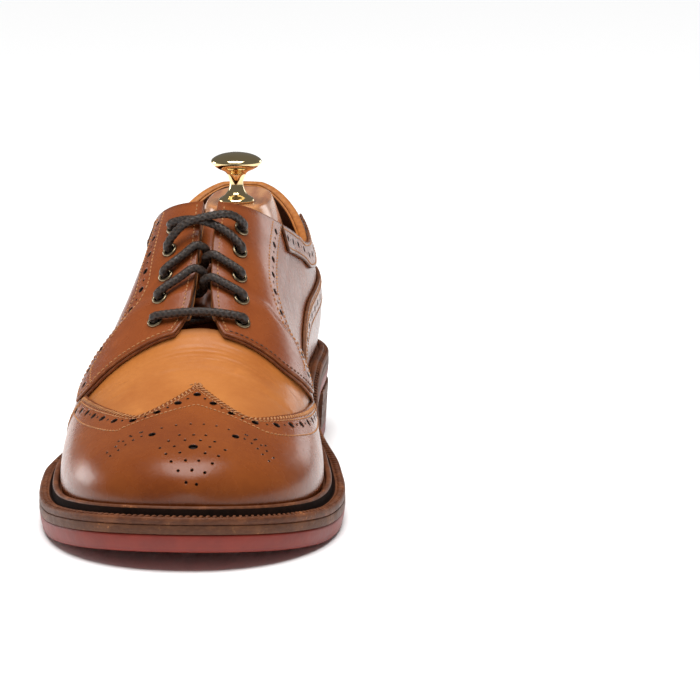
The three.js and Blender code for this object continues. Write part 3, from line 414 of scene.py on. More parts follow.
class Nodes:
    """One material's node tree."""

    def __init__(self, name: str) -> None:
        """Start a material with a Principled shader."""
        self.material = bpy.data.materials.new(name)
        self.material.use_nodes = True
        self.tree = self.material.node_tree
        self.shader = self.tree.nodes["Principled BSDF"]
        self.place = self.raw("ShaderNodeTexCoord", {}).outputs["Object"]

    def raw(self, kind: str, settings: dict[str, object]) -> bpy.types.Node:
        """Add a node and give it its settings."""
        node = self.tree.nodes.new(kind)
        for key, value in settings.items():
            setattr(node, key, value)
        return node

    def feed(self, node: bpy.types.Node, values: dict[str | int, object]) -> None:
        """Set or link the sockets of a node."""
        for key, value in values.items():
            socket = node.inputs[key]
            source = value.link if isinstance(value, Sock) else value
            if isinstance(source, bpy.types.NodeSocket):
                self.tree.links.new(source, socket)
            else:
                socket.default_value = source

    def add(self, kind: str, settings: dict[str, object], *values: object) -> Sock:
        """Add a node whose sockets are filled in order and give its first output."""
        node = self.raw(kind, settings)
        self.feed(node, dict(enumerate(values)))
        return Sock(self, node.outputs[0])

    def noise(
        self, scale: float, detail: float = 3.0, stretch: tuple[float, float, float] = (1, 1, 1)
    ) -> Sock:
        """Noise in Object coordinates; scale is per metre.

        Args:
            scale: Features per metre.
            detail: Octaves.
            stretch: Scale along each axis.

        Returns:
            The noise value, around 0.5.
        """
        mapping = self.raw("ShaderNodeMapping", {})
        self.feed(mapping, {"Vector": self.place, "Scale": stretch})
        node = self.raw("ShaderNodeTexNoise", {})
        self.feed(node, {"Vector": mapping.outputs[0], "Scale": scale, "Detail": detail})
        return Sock(self, node.outputs[0])

    def cells(self, scale: float, feature: str = "DISTANCE_TO_EDGE") -> Sock:
        """Voronoi cells in Object coordinates."""
        node = self.raw("ShaderNodeTexVoronoi", {"feature": feature})
        self.feed(node, {"Vector": self.place, "Scale": scale})
        return Sock(self, node.outputs["Distance"])

    def attribute(self, name: str) -> Sock:
        """Number stored on the mesh."""
        return Sock(self, self.raw("ShaderNodeAttribute", {"attribute_name": name}).outputs["Fac"])

    def blend(self, factor: Sock, low: object, high: object) -> Sock:
        """Mix two colours."""
        node = self.raw("ShaderNodeMix", {"data_type": "RGBA"})
        self.feed(node, {0: factor, 6: low, 7: high})
        return Sock(self, node.outputs[2])

    def bump(self, height: Sock, distance: float, strength: float = 1.0, under: object = None) -> Sock:
        """Bump whose height is in units of distance, in metres."""
        node = self.raw("ShaderNodeBump", {})
        self.feed(node, {"Height": height, "Distance": distance, "Strength": strength})
        if under is not None:
            self.feed(node, {"Normal": under})
        return Sock(self, node.outputs[0])

    def finish(self, **values: object) -> bpy.types.Material:
        """Feed the shader's sockets and give the material."""
        self.feed(self.shader, {key.replace("_", " "): value for key, value in values.items()})
        return self.material


def rgba(red: float, green: float, blue: float) -> tuple[float, float, float, float]:
    """Opaque colour."""
    return (red, green, blue, 1.0)


@dataclass(frozen=True)
class Leather:
    """Burnished, polished calf: mottled, darker at its edges, with fine grain and creases."""

    name: str
    light: tuple[float, float, float]
    dark: tuple[float, float, float]
    creases: float = 0.0
    burnish: float = 0.0
    roughness: float = 0.27
    coat: float = 0.14

    def build(self) -> bpy.types.Material:
        """Make the material."""
        kit = Nodes(self.name)
        along = kit.attribute("along")
        edge = kit.attribute("edge")
        cloud = kit.noise(28, 4).above(0.3, 0.7)
        brush = kit.noise(60, 3, (1.0, 0.6, 1.0)).above(0.3, 0.75)
        patina = kit.noise(420, 3).above(0.35, 0.75)
        base = kit.blend(cloud * 0.55 + brush * 0.3 + patina * 0.15, rgba(*self.dark), rgba(*self.light))
        rubbed = (1 - edge.above(0.1, 3.5)) * 0.4
        deep = rgba(*(c * 0.4 for c in self.dark))
        shaded = kit.blend(rubbed, base, deep)
        if self.burnish:
            toe = (1 - along.above(18, 62)) * self.burnish * (kit.noise(35, 3).above(0.2, 0.8) * 0.6 + 0.4)
            shaded = kit.blend(toe, shaded, rgba(*(c * 0.45 for c in self.dark)))
        scuffs = kit.noise(90, 5, (1.0, 1.0, 0.2)).above(0.62, 0.72) * 0.16
        colour = kit.blend(scuffs, shaded, rgba(*(min(1, c * 1.5) for c in self.light)))
        grain = kit.cells(1500).above(0.0, 0.35) * 0.5 + kit.noise(2600, 2) * 0.5
        height = kit.bump(grain, 0.00007, 0.5)
        wave = kit.noise(60, 2) * 0.8 + kit.noise(170, 2) * 0.2
        height = kit.bump(wave, 0.0005, 0.4, height)
        if self.creases:
            fold = kit.noise(42, 2, (0.4, 2.6, 1.4)).above(0.4, 0.62)
            place = along.above(80, 98) * (1 - along.above(110, 122))
            height = kit.bump(fold * place, 0.00035 * self.creases, 1.0, height)
        rough = kit.noise(120, 4) * 0.16 + (self.roughness - 0.08)
        return kit.finish(
            Base_Color=colour, Roughness=rough, Normal=height, Specular_IOR_Level=0.28,
            Coat_Weight=self.coat, Coat_Roughness=0.14,
        )


@dataclass(frozen=True)
class Matte:
    """Plain worn surface with two colours of mottling and a fine or coarse bump."""

    name: str
    light: tuple[float, float, float]
    dark: tuple[float, float, float]
    scale: float = 300.0
    roughness: float = 0.6
    depth: float = 0.0002
    stretch: tuple[float, float, float] = (1.0, 1.0, 1.0)
    metallic: float = 0.0
    coat: float = 0.0
    shine: float = 0.4

    def build(self) -> bpy.types.Material:
        """Make the material."""
        kit = Nodes(self.name)
        blotch = kit.noise(self.scale, 5, self.stretch).above(0.32, 0.7)
        wide = kit.noise(self.scale / 9, 3, self.stretch).above(0.3, 0.7)
        colour = kit.blend(blotch * 0.6 + wide * 0.4, rgba(*self.dark), rgba(*self.light))
        rough = kit.noise(self.scale / 2, 3) * 0.2 + (self.roughness - 0.1)
        height = kit.bump(kit.noise(self.scale * 2, 4, self.stretch), self.depth, 0.8)
        return kit.finish(
            Base_Color=colour, Roughness=rough, Normal=height, Metallic=self.metallic,
            Coat_Weight=self.coat, Coat_Roughness=0.1, Specular_IOR_Level=self.shine,
        )


@dataclass(frozen=True)
class Welt:
    """Worn edge of stacked leather: brown dressing rubbed through, with thin dark seams."""

    name: str
    light: tuple[float, float, float]
    dark: tuple[float, float, float]

    def build(self) -> bpy.types.Material:
        """Make the material."""
        kit = Nodes(self.name)
        fibre = kit.noise(520, 5, (0.7, 0.7, 1.8)).above(0.3, 0.75)
        worn = kit.noise(95, 6).above(0.46, 0.66)
        colour = kit.blend(fibre * 0.3 + worn * 0.35 + 0.12, rgba(*self.dark), rgba(*self.light))
        pale = kit.noise(700, 4).above(0.58, 0.7) * worn * 0.6
        colour = kit.blend(pale, colour, rgba(0.42, 0.17, 0.065))
        height = kit.bump(kit.noise(900, 5, (0.7, 0.7, 1.8)), 0.0003, 0.8)
        height = kit.bump(kit.noise(110, 3), 0.0006, 0.6, height)
        rough = kit.noise(250, 3) * 0.3 + 0.38
        return kit.finish(Base_Color=colour, Roughness=rough, Normal=height, Specular_IOR_Level=0.22)


@dataclass(frozen=True)
class Wood:
    """Varnished wood with long grain."""

    name: str

    def build(self) -> bpy.types.Material:
        """Make the material."""
        kit = Nodes(self.name)
        grain = kit.noise(160, 6, (1.0, 0.12, 1.0)).above(0.35, 0.68)
        pores = kit.noise(900, 3, (1.0, 0.06, 1.0)).above(0.6, 0.75)
        warm = kit.blend(grain, rgba(0.36, 0.12, 0.043), rgba(0.58, 0.26, 0.1))
        colour = kit.blend(pores * 0.4, warm, rgba(0.09, 0.025, 0.01))
        height = kit.bump(pores, 0.00008, 0.5)
        rough = kit.noise(40, 2) * 0.1 + 0.22
        return kit.finish(
            Base_Color=colour, Roughness=rough, Normal=height, Coat_Weight=0.4, Coat_Roughness=0.08
        )


@dataclass(frozen=True)
class Metal:
    """Metal with faint smudges."""

    name: str
    colour: tuple[float, float, float]
    tarnish: tuple[float, float, float]
    roughness: float

    def build(self) -> bpy.types.Material:
        """Make the material."""
        kit = Nodes(self.name)
        smudge = kit.noise(240, 4).above(0.45, 0.75)
        colour = kit.blend(smudge * 0.5, rgba(*self.colour), rgba(*self.tarnish))
        rough = smudge * 0.12 + self.roughness
        height = kit.bump(kit.noise(1500, 3), 0.00002, 0.4)
        return kit.finish(Base_Color=colour, Roughness=rough, Metallic=1.0, Normal=height)


@dataclass(frozen=True)
class Cord:
    """Waxed braid: dark crossing strands that follow the cord's own length, with painted highlight on their
    raised crests and painted shade in the hollows between them.
    """

    name: str

    def build(self) -> bpy.types.Material:
        """Make the material."""
        kit = Nodes(self.name)
        strand = kit.attribute("strand")
        fluff = kit.noise(2200, 4).above(0.4, 0.7)
        dark = kit.blend(fluff, rgba(0.006, 0.004, 0.003), rgba(0.02, 0.012, 0.008))
        # Lighter where the strand rises: painted highlight on the crests and painted shade in the hollows.
        colour = kit.blend(strand.above(0.45, 1.0) * 0.6, dark, rgba(0.06, 0.037, 0.026))
        rough = 0.44 - strand.above(0.4, 1.0) * 0.16
        return kit.finish(Base_Color=colour, Roughness=rough, Normal=kit.bump(fluff, 0.00012, 0.7))


class Finishes:
    """Every material of the shoe, made once."""

    def __init__(self) -> None:
        """Build the materials."""
        self.cap = Leather("cap_calf", (0.25, 0.064, 0.0115), (0.16, 0.034, 0.006), burnish=0.4).build()
        self.vamp = Leather(
            "vamp_calf", (0.43, 0.155, 0.037), (0.31, 0.092, 0.018), creases=1.0, roughness=0.36
        ).build()
        self.quarter = Leather("quarter_calf", (0.25, 0.063, 0.0145), (0.16, 0.034, 0.0075)).build()
        self.raw_edge = Matte("cut_edge", (0.2, 0.075, 0.03), (0.05, 0.018, 0.01), 500, 0.6).build()
        self.fold = Matte("folded_edge", (0.3, 0.1, 0.03), (0.16, 0.042, 0.013), 400, 0.45).build()
        # Near-black hole colour: painted shade on the walls of punched holes and on the discs under them.
        self.hole = Matte("hole_wall", (0.035, 0.014, 0.008), (0.012, 0.006, 0.004), 500, 0.8).build()
        self.lining = Matte("lining_leather", (0.11, 0.042, 0.018), (0.06, 0.022, 0.01), 260, 0.62).build()
        self.binding = Matte("collar_binding", (0.42, 0.16, 0.035), (0.28, 0.09, 0.02), 400, 0.45).build()
        self.thread = Matte(
            "waxed_thread", (0.44, 0.2, 0.075), (0.28, 0.105, 0.036), 900, 0.5, 0.0001
        ).build()
        # Darkened copy of the waxed thread: painted shade for the stitches along the medial quarter's front
        # edge.
        self.dark_thread = Matte("dark_thread", (0.12, 0.045, 0.02), (0.04, 0.015, 0.008), 900, 0.5).build()
        self.welt = Welt("welt_edge", (0.2, 0.068, 0.026), (0.06, 0.019, 0.009)).build()
        self.midsole = Welt("midsole_edge", (0.18, 0.068, 0.03), (0.065, 0.024, 0.012)).build()
        # Near-black, barely shiny groove: painted shade in the channel between the welt shelf and its lip.
        self.groove = Matte(
            "welt_groove", (0.014, 0.006, 0.004), (0.006, 0.003, 0.002), 350, 0.9, shine=0.08
        ).build()
        self.rubber = Matte(
            "red_rubber", (0.23, 0.026, 0.014), (0.16, 0.016, 0.009), 120, 0.5, 0.00025
        ).build()
        self.cord = Cord("waxed_braid").build()
        self.wood = Wood("varnished_wood").build()
        self.brass = Metal("polished_brass", (0.83, 0.66, 0.36), (0.68, 0.5, 0.24), 0.06).build()
        self.eyelet = Metal("aged_brass", (0.3, 0.23, 0.14), (0.1, 0.075, 0.05), 0.3).build()
        self.steel = Metal("turned_steel", (0.55, 0.55, 0.56), (0.4, 0.39, 0.38), 0.3).build()
        self.cork = Matte("granulated_cork", (0.45, 0.3, 0.17), (0.2, 0.12, 0.07), 420, 0.85).build()
        self.board = Matte("leather_board", (0.42, 0.27, 0.16), (0.3, 0.18, 0.1), 300, 0.8).build()


# ---------------------------------------------------------------- mesh helpers
def make_mesh(
    name: str, points: Array, faces: Sequence[Sequence[int]], materials: Sequence[bpy.types.Material],
    smooth: bool = True,
) -> bpy.types.Object:
    """Object with a mesh in the frame's metres.

    Args:
        name: Name of the piece.
        points: Vertices in sole millimetres.
        faces: Vertex numbers of each face.
        materials: Material slots.
        smooth: Whether faces are shaded smooth.

    Returns:
        The new object, linked to the scene.
    """
    mesh = bpy.data.meshes.new(name)
    mesh.from_pydata(LAST.to_frame(np.asarray(points)).tolist(), [], [list(map(int, f)) for f in faces])
    mesh.update()
    if smooth:
        mesh.shade_smooth()
    for material in materials:
        mesh.materials.append(material)
    piece = bpy.data.objects.new(name, mesh)
    bpy.context.scene.collection.objects.link(piece)
    return piece


def store(piece: bpy.types.Object, name: str, values: Array) -> None:
    """Keep one number per vertex on a mesh."""
    layer = piece.data.attributes.new(name, "FLOAT", "POINT")
    layer.data.foreach_set("value", np.asarray(values, np.float32).ravel())


def merge(piece: bpy.types.Object, distance: float = 1e-6) -> None:
    """Merge vertices that lie on each other."""
    work = bmesh.new()
    work.from_mesh(piece.data)
    bmesh.ops.remove_doubles(work, verts=work.verts, dist=distance)
    bmesh.ops.dissolve_degenerate(work, edges=work.edges, dist=1e-7)
    bmesh.ops.recalc_face_normals(work, faces=work.faces)
    work.to_mesh(piece.data)
    work.free()


def bake(piece: bpy.types.Object) -> bpy.types.Object:
    """Turn the evaluated object into a plain mesh without modifiers."""
    graph = bpy.context.evaluated_depsgraph_get()
    mesh = bpy.data.meshes.new_from_object(piece.evaluated_get(graph))
    piece.modifiers.clear()
    old = piece.data
    piece.data = mesh
    mesh.name = piece.name
    bpy.data.meshes.remove(old)
    return piece


def settle(piece: bpy.types.Object, slot: str, *nodes: str, body: str = "shoe") -> None:
    """Ride a piece on a body and let it stand for its CAD nodes.

    Args:
        piece: The piece.
        slot: Not used.
        nodes: CAD nodes that it stands for.
        body: The body that carries it.
    """
    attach(piece, body)
    if nodes:
        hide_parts(*nodes)
    LOG.info("%s: %d faces", piece.name, len(piece.data.polygons))


def grid_faces(rows: int, columns: int, start: int = 0) -> Array:
    """Quads of a grid of vertices numbered row by row."""
    i, j = np.meshgrid(np.arange(rows - 1), np.arange(columns - 1), indexing="ij")
    a = start + i * columns + j
    return np.stack([a, a + 1, a + columns + 1, a + columns], -1).reshape(-1, 4)


def hide(
    name: str, y: Array, across: Array, inner: Array | float, outer: Array | float,
    face: bpy.types.Material, edge: bpy.types.Material, bead: float = 0.25, sewn: bool = False,
) -> bpy.types.Object:
    """A sheet of leather over the last with a rounded cut edge.

    Args:
        name: Name of the piece.
        y: Grid of places along the length.
        across: Grid of shares across.
        inner: Distance of the flesh side from the last.
        outer: Distance of the grain side from the last.
        face: Finish of the grain side.
        edge: Finish of the cut edge.
        bead: How far the rounded edge stands out, in millimetres.
        sewn: Whether the first row lies on the toe fold and is closed onto itself.

    Returns:
        The closed sheet.
    """
    rows, columns = y.shape
    outer_points = LAST.site(y, across, np.broadcast_to(outer, y.shape))
    inner_points = LAST.site(y, across, np.broadcast_to(inner, y.shape))
    count = rows * columns
    number = np.arange(count).reshape(rows, columns)
    border = [number[0, :-1], number[:-1, -1], number[-1, :0:-1], number[:0:-1, 0]]
    loop = np.concatenate(border)
    shifted = np.concatenate([number[1, :-1], number[:-1, -2], number[-2, :0:-1], number[:0:-1, 1]])
    if sewn:
        shifted[0] = number[0, 1]
    flat_outer, flat_inner = outer_points.reshape(-1, 3), inner_points.reshape(-1, 3)
    outward = unit(flat_outer[loop] - flat_outer[shifted])
    middles = []
    for share in (0.25, 0.75):
        lift = bead * math.sin(math.pi * share)
        middles.append(flat_outer[loop] * (1 - share) + flat_inner[loop] * share + outward * lift)
    points = np.concatenate([flat_outer, flat_inner, *middles])
    skin = grid_faces(rows, columns)
    faces = [*skin.tolist(), *(skin[:, ::-1] + count).tolist()]
    skin_count = len(faces)
    bead_ring = 2 * count + np.arange(len(loop))
    rings = [loop, bead_ring, bead_ring + len(loop), loop + count]
    keep = np.ones(len(loop), bool)
    if sewn:
        keep[: columns - 1] = False
    for first, second in zip(rings, rings[1:]):
        nxt_first, nxt_second = np.roll(first, -1), np.roll(second, -1)
        quads = np.stack([nxt_first, first, second, nxt_second], -1)[keep]
        faces.extend(quads.tolist())
    piece = make_mesh(name, points, faces, [face, edge])
    index = np.zeros(len(piece.data.polygons), np.int32)
    index[skin_count:] = 1
    piece.data.polygons.foreach_set("material_index", index)
    free = loop[columns - 1:] if sewn else loop
    tree = KDTree(len(free))
    for i, vertex in enumerate(free):
        tree.insert(flat_outer[vertex], i)
    tree.balance()
    near = np.array([tree.find(p)[2] for p in flat_outer])
    near = np.concatenate([near, near, np.zeros(2 * len(loop))])
    flat_y = y.ravel()
    store(piece, "edge", near)
    store(piece, "along", np.concatenate([flat_y, flat_y, flat_y[loop], flat_y[loop]]))
    merge(piece)
    return piece


def resample(y: Array, across: Array, count: int, distance: float = 4.0) -> tuple[Array, Array]:
    """Points of a line on the last at even spacing.

    Args:
        y: Places along the length.
        across: Shares across.
        count: Number of points wanted.
        distance: Distance from the last at which the spacing is measured.

    Returns:
        The even places along the length and across.
    """
    length = running_length(LAST.site(y, across, np.full(np.shape(y), distance)))
    even = np.linspace(0, length[-1], count)
    return np.interp(even, length, y), np.interp(even, length, across)


def line_length(y: Array, across: Array, distance: float = 4.0) -> float:
    """Length of a line on the last in millimetres."""
    return float(running_length(LAST.site(y, across, np.full(np.shape(y), distance)))[-1])


def coons(
    front: tuple[Array, Array], back: tuple[Array, Array], bottom: tuple[Array, Array],
    top: tuple[Array, Array], rows: int, columns: int,
) -> tuple[Array, Array]:
    """Grid inside four boundary lines.

    Args:
        front: Line from the bottom front corner to the top front corner.
        back: Line from the bottom back corner to the top back corner.
        bottom: Line from the bottom front corner to the bottom back corner.
        top: Line from the top front corner to the top back corner.
        rows: Grid lines from bottom to top.
        columns: Grid lines from front to back.

    Returns:
        Grids of places along the length and shares across.
    """
    turn = LAST.turn
    front, back = resample(*front, rows), resample(*back, rows)
    bottom, top = resample(*bottom, columns), resample(*top, columns)
    v = np.linspace(0, 1, rows)[:, None]
    u = np.linspace(0, 1, columns)[None, :]
    grids = []
    for kind, pick in ((turn, 0), (lambda x: x, 1)):
        f, k, b, t = (kind(line[pick]) for line in (front, back, bottom, top))
        ruled = (1 - v) * b[None, :] + v * t[None, :] + (1 - u) * f[:, None] + u * k[:, None]
        corners = (1 - u) * (1 - v) * b[0] + u * (1 - v) * b[-1] + (1 - u) * v * t[0] + u * v * t[-1]
        grids.append(ruled - corners)
    return LAST.station(np.clip(grids[0], 0, 1)), grids[1]


def lathe(
    profile: Sequence[tuple[float, float]], centre: Array, sides: int
) -> tuple[Array, list[list[int]]]:
    """Upright turned shape; the first and last point of the profile lie on the axis.

    Args:
        profile: Radius and height pairs.
        centre: Middle of the axis in sole millimetres.
        sides: Sides of the turned shape.

    Returns:
        Points and faces.
    """
    angle = round_angles(sides)
    rings = profile[1:-1]
    x, y = centre
    points = [[x + r * math.cos(a), y + r * math.sin(a), z] for r, z in rings for a in angle]
    points += [[x, y, profile[0][1]], [x, y, profile[-1][1]]]
    low, high = len(points) - 2, len(points) - 1
    faces: list[list[int]] = []
    for k in range(sides):
        n = (k + 1) % sides
        faces += [[i * sides + k, i * sides + n, (i + 1) * sides + n, (i + 1) * sides + k]
                  for i in range(len(rings) - 1)]
        faces += [[low, n, k], [(len(rings) - 1) * sides + k, (len(rings) - 1) * sides + n, high]]
    return np.array(points), faces


def smooth_profile(points: Sequence[tuple[float, float]], steps: int) -> list[tuple[float, float]]:
    """Profile with its corners eased by a centripetal curve."""
    line = centripetal(np.array([(r, z, 0.0) for r, z in points]), steps)
    return [(max(0.0, float(p[0])), float(p[1])) for p in line]


def centripetal(points: Array, steps: int) -> Array:
    """Curve through points with centripetal spacing.

    Args:
        points: Points to pass through.
        steps: Samples for each span.

    Returns:
        The dense line.
    """
    padded = np.concatenate([[2 * points[0] - points[1]], points, [2 * points[-1] - points[-2]]])
    line = []
    for p0, p1, p2, p3 in zip(padded, padded[1:], padded[2:], padded[3:]):
        d0 = max(float(np.linalg.norm(p1 - p0)) ** 0.5, 1e-4)
        d1 = max(float(np.linalg.norm(p2 - p1)) ** 0.5, 1e-4)
        d2 = max(float(np.linalg.norm(p3 - p2)) ** 0.5, 1e-4)
        m1 = ((p1 - p0) / d0 - (p2 - p0) / (d0 + d1) + (p2 - p1) / d1) * d1
        m2 = ((p2 - p1) / d1 - (p3 - p1) / (d1 + d2) + (p3 - p2) / d2) * d1
        for i in range(steps):
            t = i / steps
            line.append(
                p1 * (2 * t**3 - 3 * t**2 + 1) + m1 * (t**3 - 2 * t**2 + t)
                + p2 * (3 * t**2 - 2 * t**3) + m2 * (t**3 - t**2)
            )
    line.append(points[-1])
    return np.array(line)


def even_line(line: Array, spacing: float) -> Array:
    """Line with even spacing."""
    length = running_length(line)
    even = np.linspace(0, length[-1], max(2, int(round(length[-1] / spacing)) + 1))
    return np.stack([np.interp(even, length, line[:, k]) for k in range(3)], -1)


# ---------------------------------------------------------------- repeated shapes
class Repeater:
    """Geometry Nodes that set a small shape at points, turned by stored directions."""

    def __init__(self) -> None:
        """Build the node tree once."""
        tree = bpy.data.node_groups.new("repeat_at_points", "GeometryNodeTree")
        self.tree = tree
        face = tree.interface
        face.new_socket("Geometry", in_out="INPUT", socket_type="NodeSocketGeometry")
        self.keys = {
            label: face.new_socket(label, in_out="INPUT", socket_type=kind).identifier
            for label, kind in (
                ("Shape", "NodeSocketObject"), ("Finish", "NodeSocketMaterial"),
                ("Size", "NodeSocketFloat"), ("Size Spread", "NodeSocketFloat"), ("Seed", "NodeSocketInt"),
            )
        }
        face.new_socket("Geometry", in_out="OUTPUT", socket_type="NodeSocketGeometry")
        nodes, link = tree.nodes, tree.links.new
        entry, leave = nodes.new("NodeGroupInput"), nodes.new("NodeGroupOutput")
        shape = nodes.new("GeometryNodeObjectInfo")
        link(entry.outputs["Shape"], shape.inputs["Object"])
        normal, tangent = self._named("normal"), self._named("tangent")
        upright = nodes.new("FunctionNodeAlignRotationToVector")
        upright.axis = "Z"
        link(normal.outputs[0], upright.inputs["Vector"])
        turned = nodes.new("FunctionNodeAlignRotationToVector")
        turned.axis = "X"
        turned.pivot_axis = "Z"
        link(upright.outputs[0], turned.inputs["Rotation"])
        link(tangent.outputs[0], turned.inputs["Vector"])
        spread = nodes.new("FunctionNodeRandomValue")
        spread.data_type = "FLOAT"
        low, high = self._math("SUBTRACT"), self._math("ADD")
        for node in (low, high):
            link(entry.outputs["Size"], node.inputs[0])
            link(entry.outputs["Size Spread"], node.inputs[1])
        link(low.outputs[0], spread.inputs[2])
        link(high.outputs[0], spread.inputs[3])
        link(entry.outputs["Seed"], spread.inputs["Seed"])
        place = nodes.new("GeometryNodeInstanceOnPoints")
        link(entry.outputs[0], place.inputs["Points"])
        link(shape.outputs["Geometry"], place.inputs["Instance"])
        link(turned.outputs[0], place.inputs["Rotation"])
        link(spread.outputs[1], place.inputs["Scale"])
        real = nodes.new("GeometryNodeRealizeInstances")
        link(place.outputs[0], real.inputs[0])
        paint = nodes.new("GeometryNodeSetMaterial")
        link(real.outputs[0], paint.inputs["Geometry"])
        link(entry.outputs["Finish"], paint.inputs["Material"])
        link(paint.outputs[0], leave.inputs[0])

    def _named(self, name: str) -> bpy.types.Node:
        """Node that reads a stored direction."""
        node = self.tree.nodes.new("GeometryNodeInputNamedAttribute")
        node.data_type = "FLOAT_VECTOR"
        node.inputs["Name"].default_value = name
        return node

    def _math(self, operation: str) -> bpy.types.Node:
        """Math node of the tree."""
        node = self.tree.nodes.new("ShaderNodeMath")
        node.operation = operation
        return node

    def spread(
        self, name: str, shape: bpy.types.Object, points: Array, normals: Array, tangents: Array,
        finish: bpy.types.Material, size: float = 1.0, size_spread: float = 0.0, seed: int = 3,
    ) -> bpy.types.Object:
        """Set a shape at points.

        Args:
            name: Name of the piece.
            shape: Small shape in metres around the origin, upright along Z, long along X.
            points: Places in sole millimetres.
            normals: Directions of the shape's Z.
            tangents: Directions of the shape's X.
            finish: Material of the copies.
            size: Scale of the shape.
            size_spread: Random part of the scale.
            seed: Seed of the random part.

        Returns:
            One plain mesh with all copies.
        """
        mesh = bpy.data.meshes.new(name)
        mesh.from_pydata(LAST.to_frame(points).tolist(), [], [])
        for label, values in (("normal", normals), ("tangent", tangents)):
            layer = mesh.attributes.new(label, "FLOAT_VECTOR", "POINT")
            layer.data.foreach_set("vector", np.asarray(values, np.float32).ravel())
        piece = bpy.data.objects.new(name, mesh)
        bpy.context.scene.collection.objects.link(piece)
        modifier = piece.modifiers.new("repeat", "NODES")
        modifier.node_group = self.tree
        values = {"Shape": shape, "Finish": finish, "Size": size, "Size Spread": size_spread, "Seed": seed}
        for label, value in values.items():
            modifier[self.keys[label]] = value
        baked = bake(piece)
        if not baked.data.materials:
            baked.data.materials.append(finish)
        baked.data.shade_smooth()
        return baked


REPEAT = Repeater()


class Shapes:
    """Small shapes that are set many times; they are removed when everything is built."""

    def __init__(self) -> None:
        """Make the shapes around the origin."""
        self.made: list[bpy.types.Object] = []
        self.stitch = self._capsule("shape_stitch", 0.85, 0.34, 0.26)
        self.whip = self._capsule("shape_whip", 1.25, 0.5, 0.42)
        self.welt_stitch = self._capsule("shape_welt_stitch", 1.7, 0.75, 0.7)
        self.punch = self._rod("shape_punch", 1.0, 6.0, 14)
        self.disc = self._rod("shape_disc", 1.0, 0.1, 14)
        self.ring = self._ring("shape_ring")

    def _keep(self, name: str, points: Array, faces: list[list[int]]) -> bpy.types.Object:
        """Shape object in metres."""
        mesh = bpy.data.meshes.new(name)
        mesh.from_pydata((points * MM).tolist(), [], faces)
        shape = bpy.data.objects.new(name, mesh)
        bpy.context.scene.collection.objects.link(shape)
        self.made.append(shape)
        return shape

    def _capsule(self, name: str, half: float, width: float, height: float) -> bpy.types.Object:
        """A stitch: a short rounded bar that dips at both ends."""
        stations = np.linspace(-1, 1, 7)
        points, sides = [], 6
        for s in stations:
            size = math.sqrt(max(0.02, 1 - abs(s) ** 2.6))
            for k in range(sides):
                angle = k / sides * 2 * math.pi
                drop = -0.45 * height * s * s
                across, up = width * size * math.cos(angle), height * size * math.sin(angle)
                points.append([s * half, across, up + drop])
        return self._keep(name, np.array(points), tube_faces(len(stations), sides))

    def _rod(self, name: str, radius: float, length: float, sides: int) -> bpy.types.Object:
        """A round bar along Z."""
        angle = round_angles(sides)
        ring = np.stack([radius * np.cos(angle), radius * np.sin(angle), np.zeros(sides)], -1)
        points = np.concatenate([ring - [0, 0, length / 2], ring + [0, 0, length / 2]])
        return self._keep(name, points, tube_faces(2, sides))

    def _ring(self, name: str) -> bpy.types.Object:
        """An eyelet: a barrel under a rolled flange."""
        profile = [(2.15, -3.2), (2.15, 0.15), (2.35, 0.52), (2.75, 0.66), (3.2, 0.52), (3.5, 0.12),
                   (3.42, -0.12), (2.6, -0.2), (2.55, -3.2)]
        sides, n = 28, len(profile)
        points, faces = [], []
        for k in range(sides):
            angle, following = k / sides * 2 * math.pi, (k + 1) % sides
            points += [[r * math.cos(angle), r * math.sin(angle), z] for r, z in profile]
            faces += [
                [k * n + i, k * n + (i + 1) % n, following * n + (i + 1) % n, following * n + i]
                for i in range(n)
            ]
        return self._keep(name, np.array(points), faces)

    def clear(self) -> None:
        """Remove the shapes from the scene."""
        for shape in self.made:
            bpy.data.objects.remove(shape)


@dataclass
class Row:
    """Places along a line on the last."""

    y: Array
    across: Array
    lift: Array

    def sites(self, pitch: float) -> tuple[Array, Array, Array]:
        """Evenly spaced points, normals and tangents.

        Args:
            pitch: Spacing in millimetres.

        Returns:
            Points, normals and tangents.
        """
        line = LAST.site(self.y, self.across, self.lift)
        length = running_length(line)
        even = np.arange(pitch / 2, length[-1], pitch)
        y, a = np.interp(even, length, self.y), np.interp(even, length, self.across)
        lift = np.interp(even, length, self.lift)
        points = LAST.site(y, a, lift)
        ahead = np.stack([np.interp(even + 0.4, length, line[:, k]) for k in range(3)], -1)
        behind = np.stack([np.interp(even - 0.4, length, line[:, k]) for k in range(3)], -1)
        return points, LAST.normal(y, a), unit(ahead - behind)


@dataclass
class Hole:
    """A punched hole."""

    y: float
    across: float
    radius: float


def inset_line(y: Array, across: Array, distance: float, towards: int) -> tuple[Array, Array]:
    """Line moved sideways over the last.

    Args:
        y: Places along the length.
        across: Shares across.
        distance: How far to move, in millimetres.
        towards: 1 or -1 for the side.

    Returns:
        The moved line.
    """
    step = 0.5
    p0 = LAST.point(y, across)
    per_y = np.linalg.norm(LAST.point(y + step, across) - p0, axis=-1) / step
    per_a = np.linalg.norm(LAST.point(y, across + 0.004) - LAST.point(y, across - 0.004), axis=-1) / 0.008
    du, dv = np.gradient(y) * per_y, np.gradient(across) * per_a
    size = np.maximum(np.hypot(du, dv), 1e-9)
    shift = towards * distance
    return y - shift * (dv / size) / per_y, across + shift * (du / size) / per_a


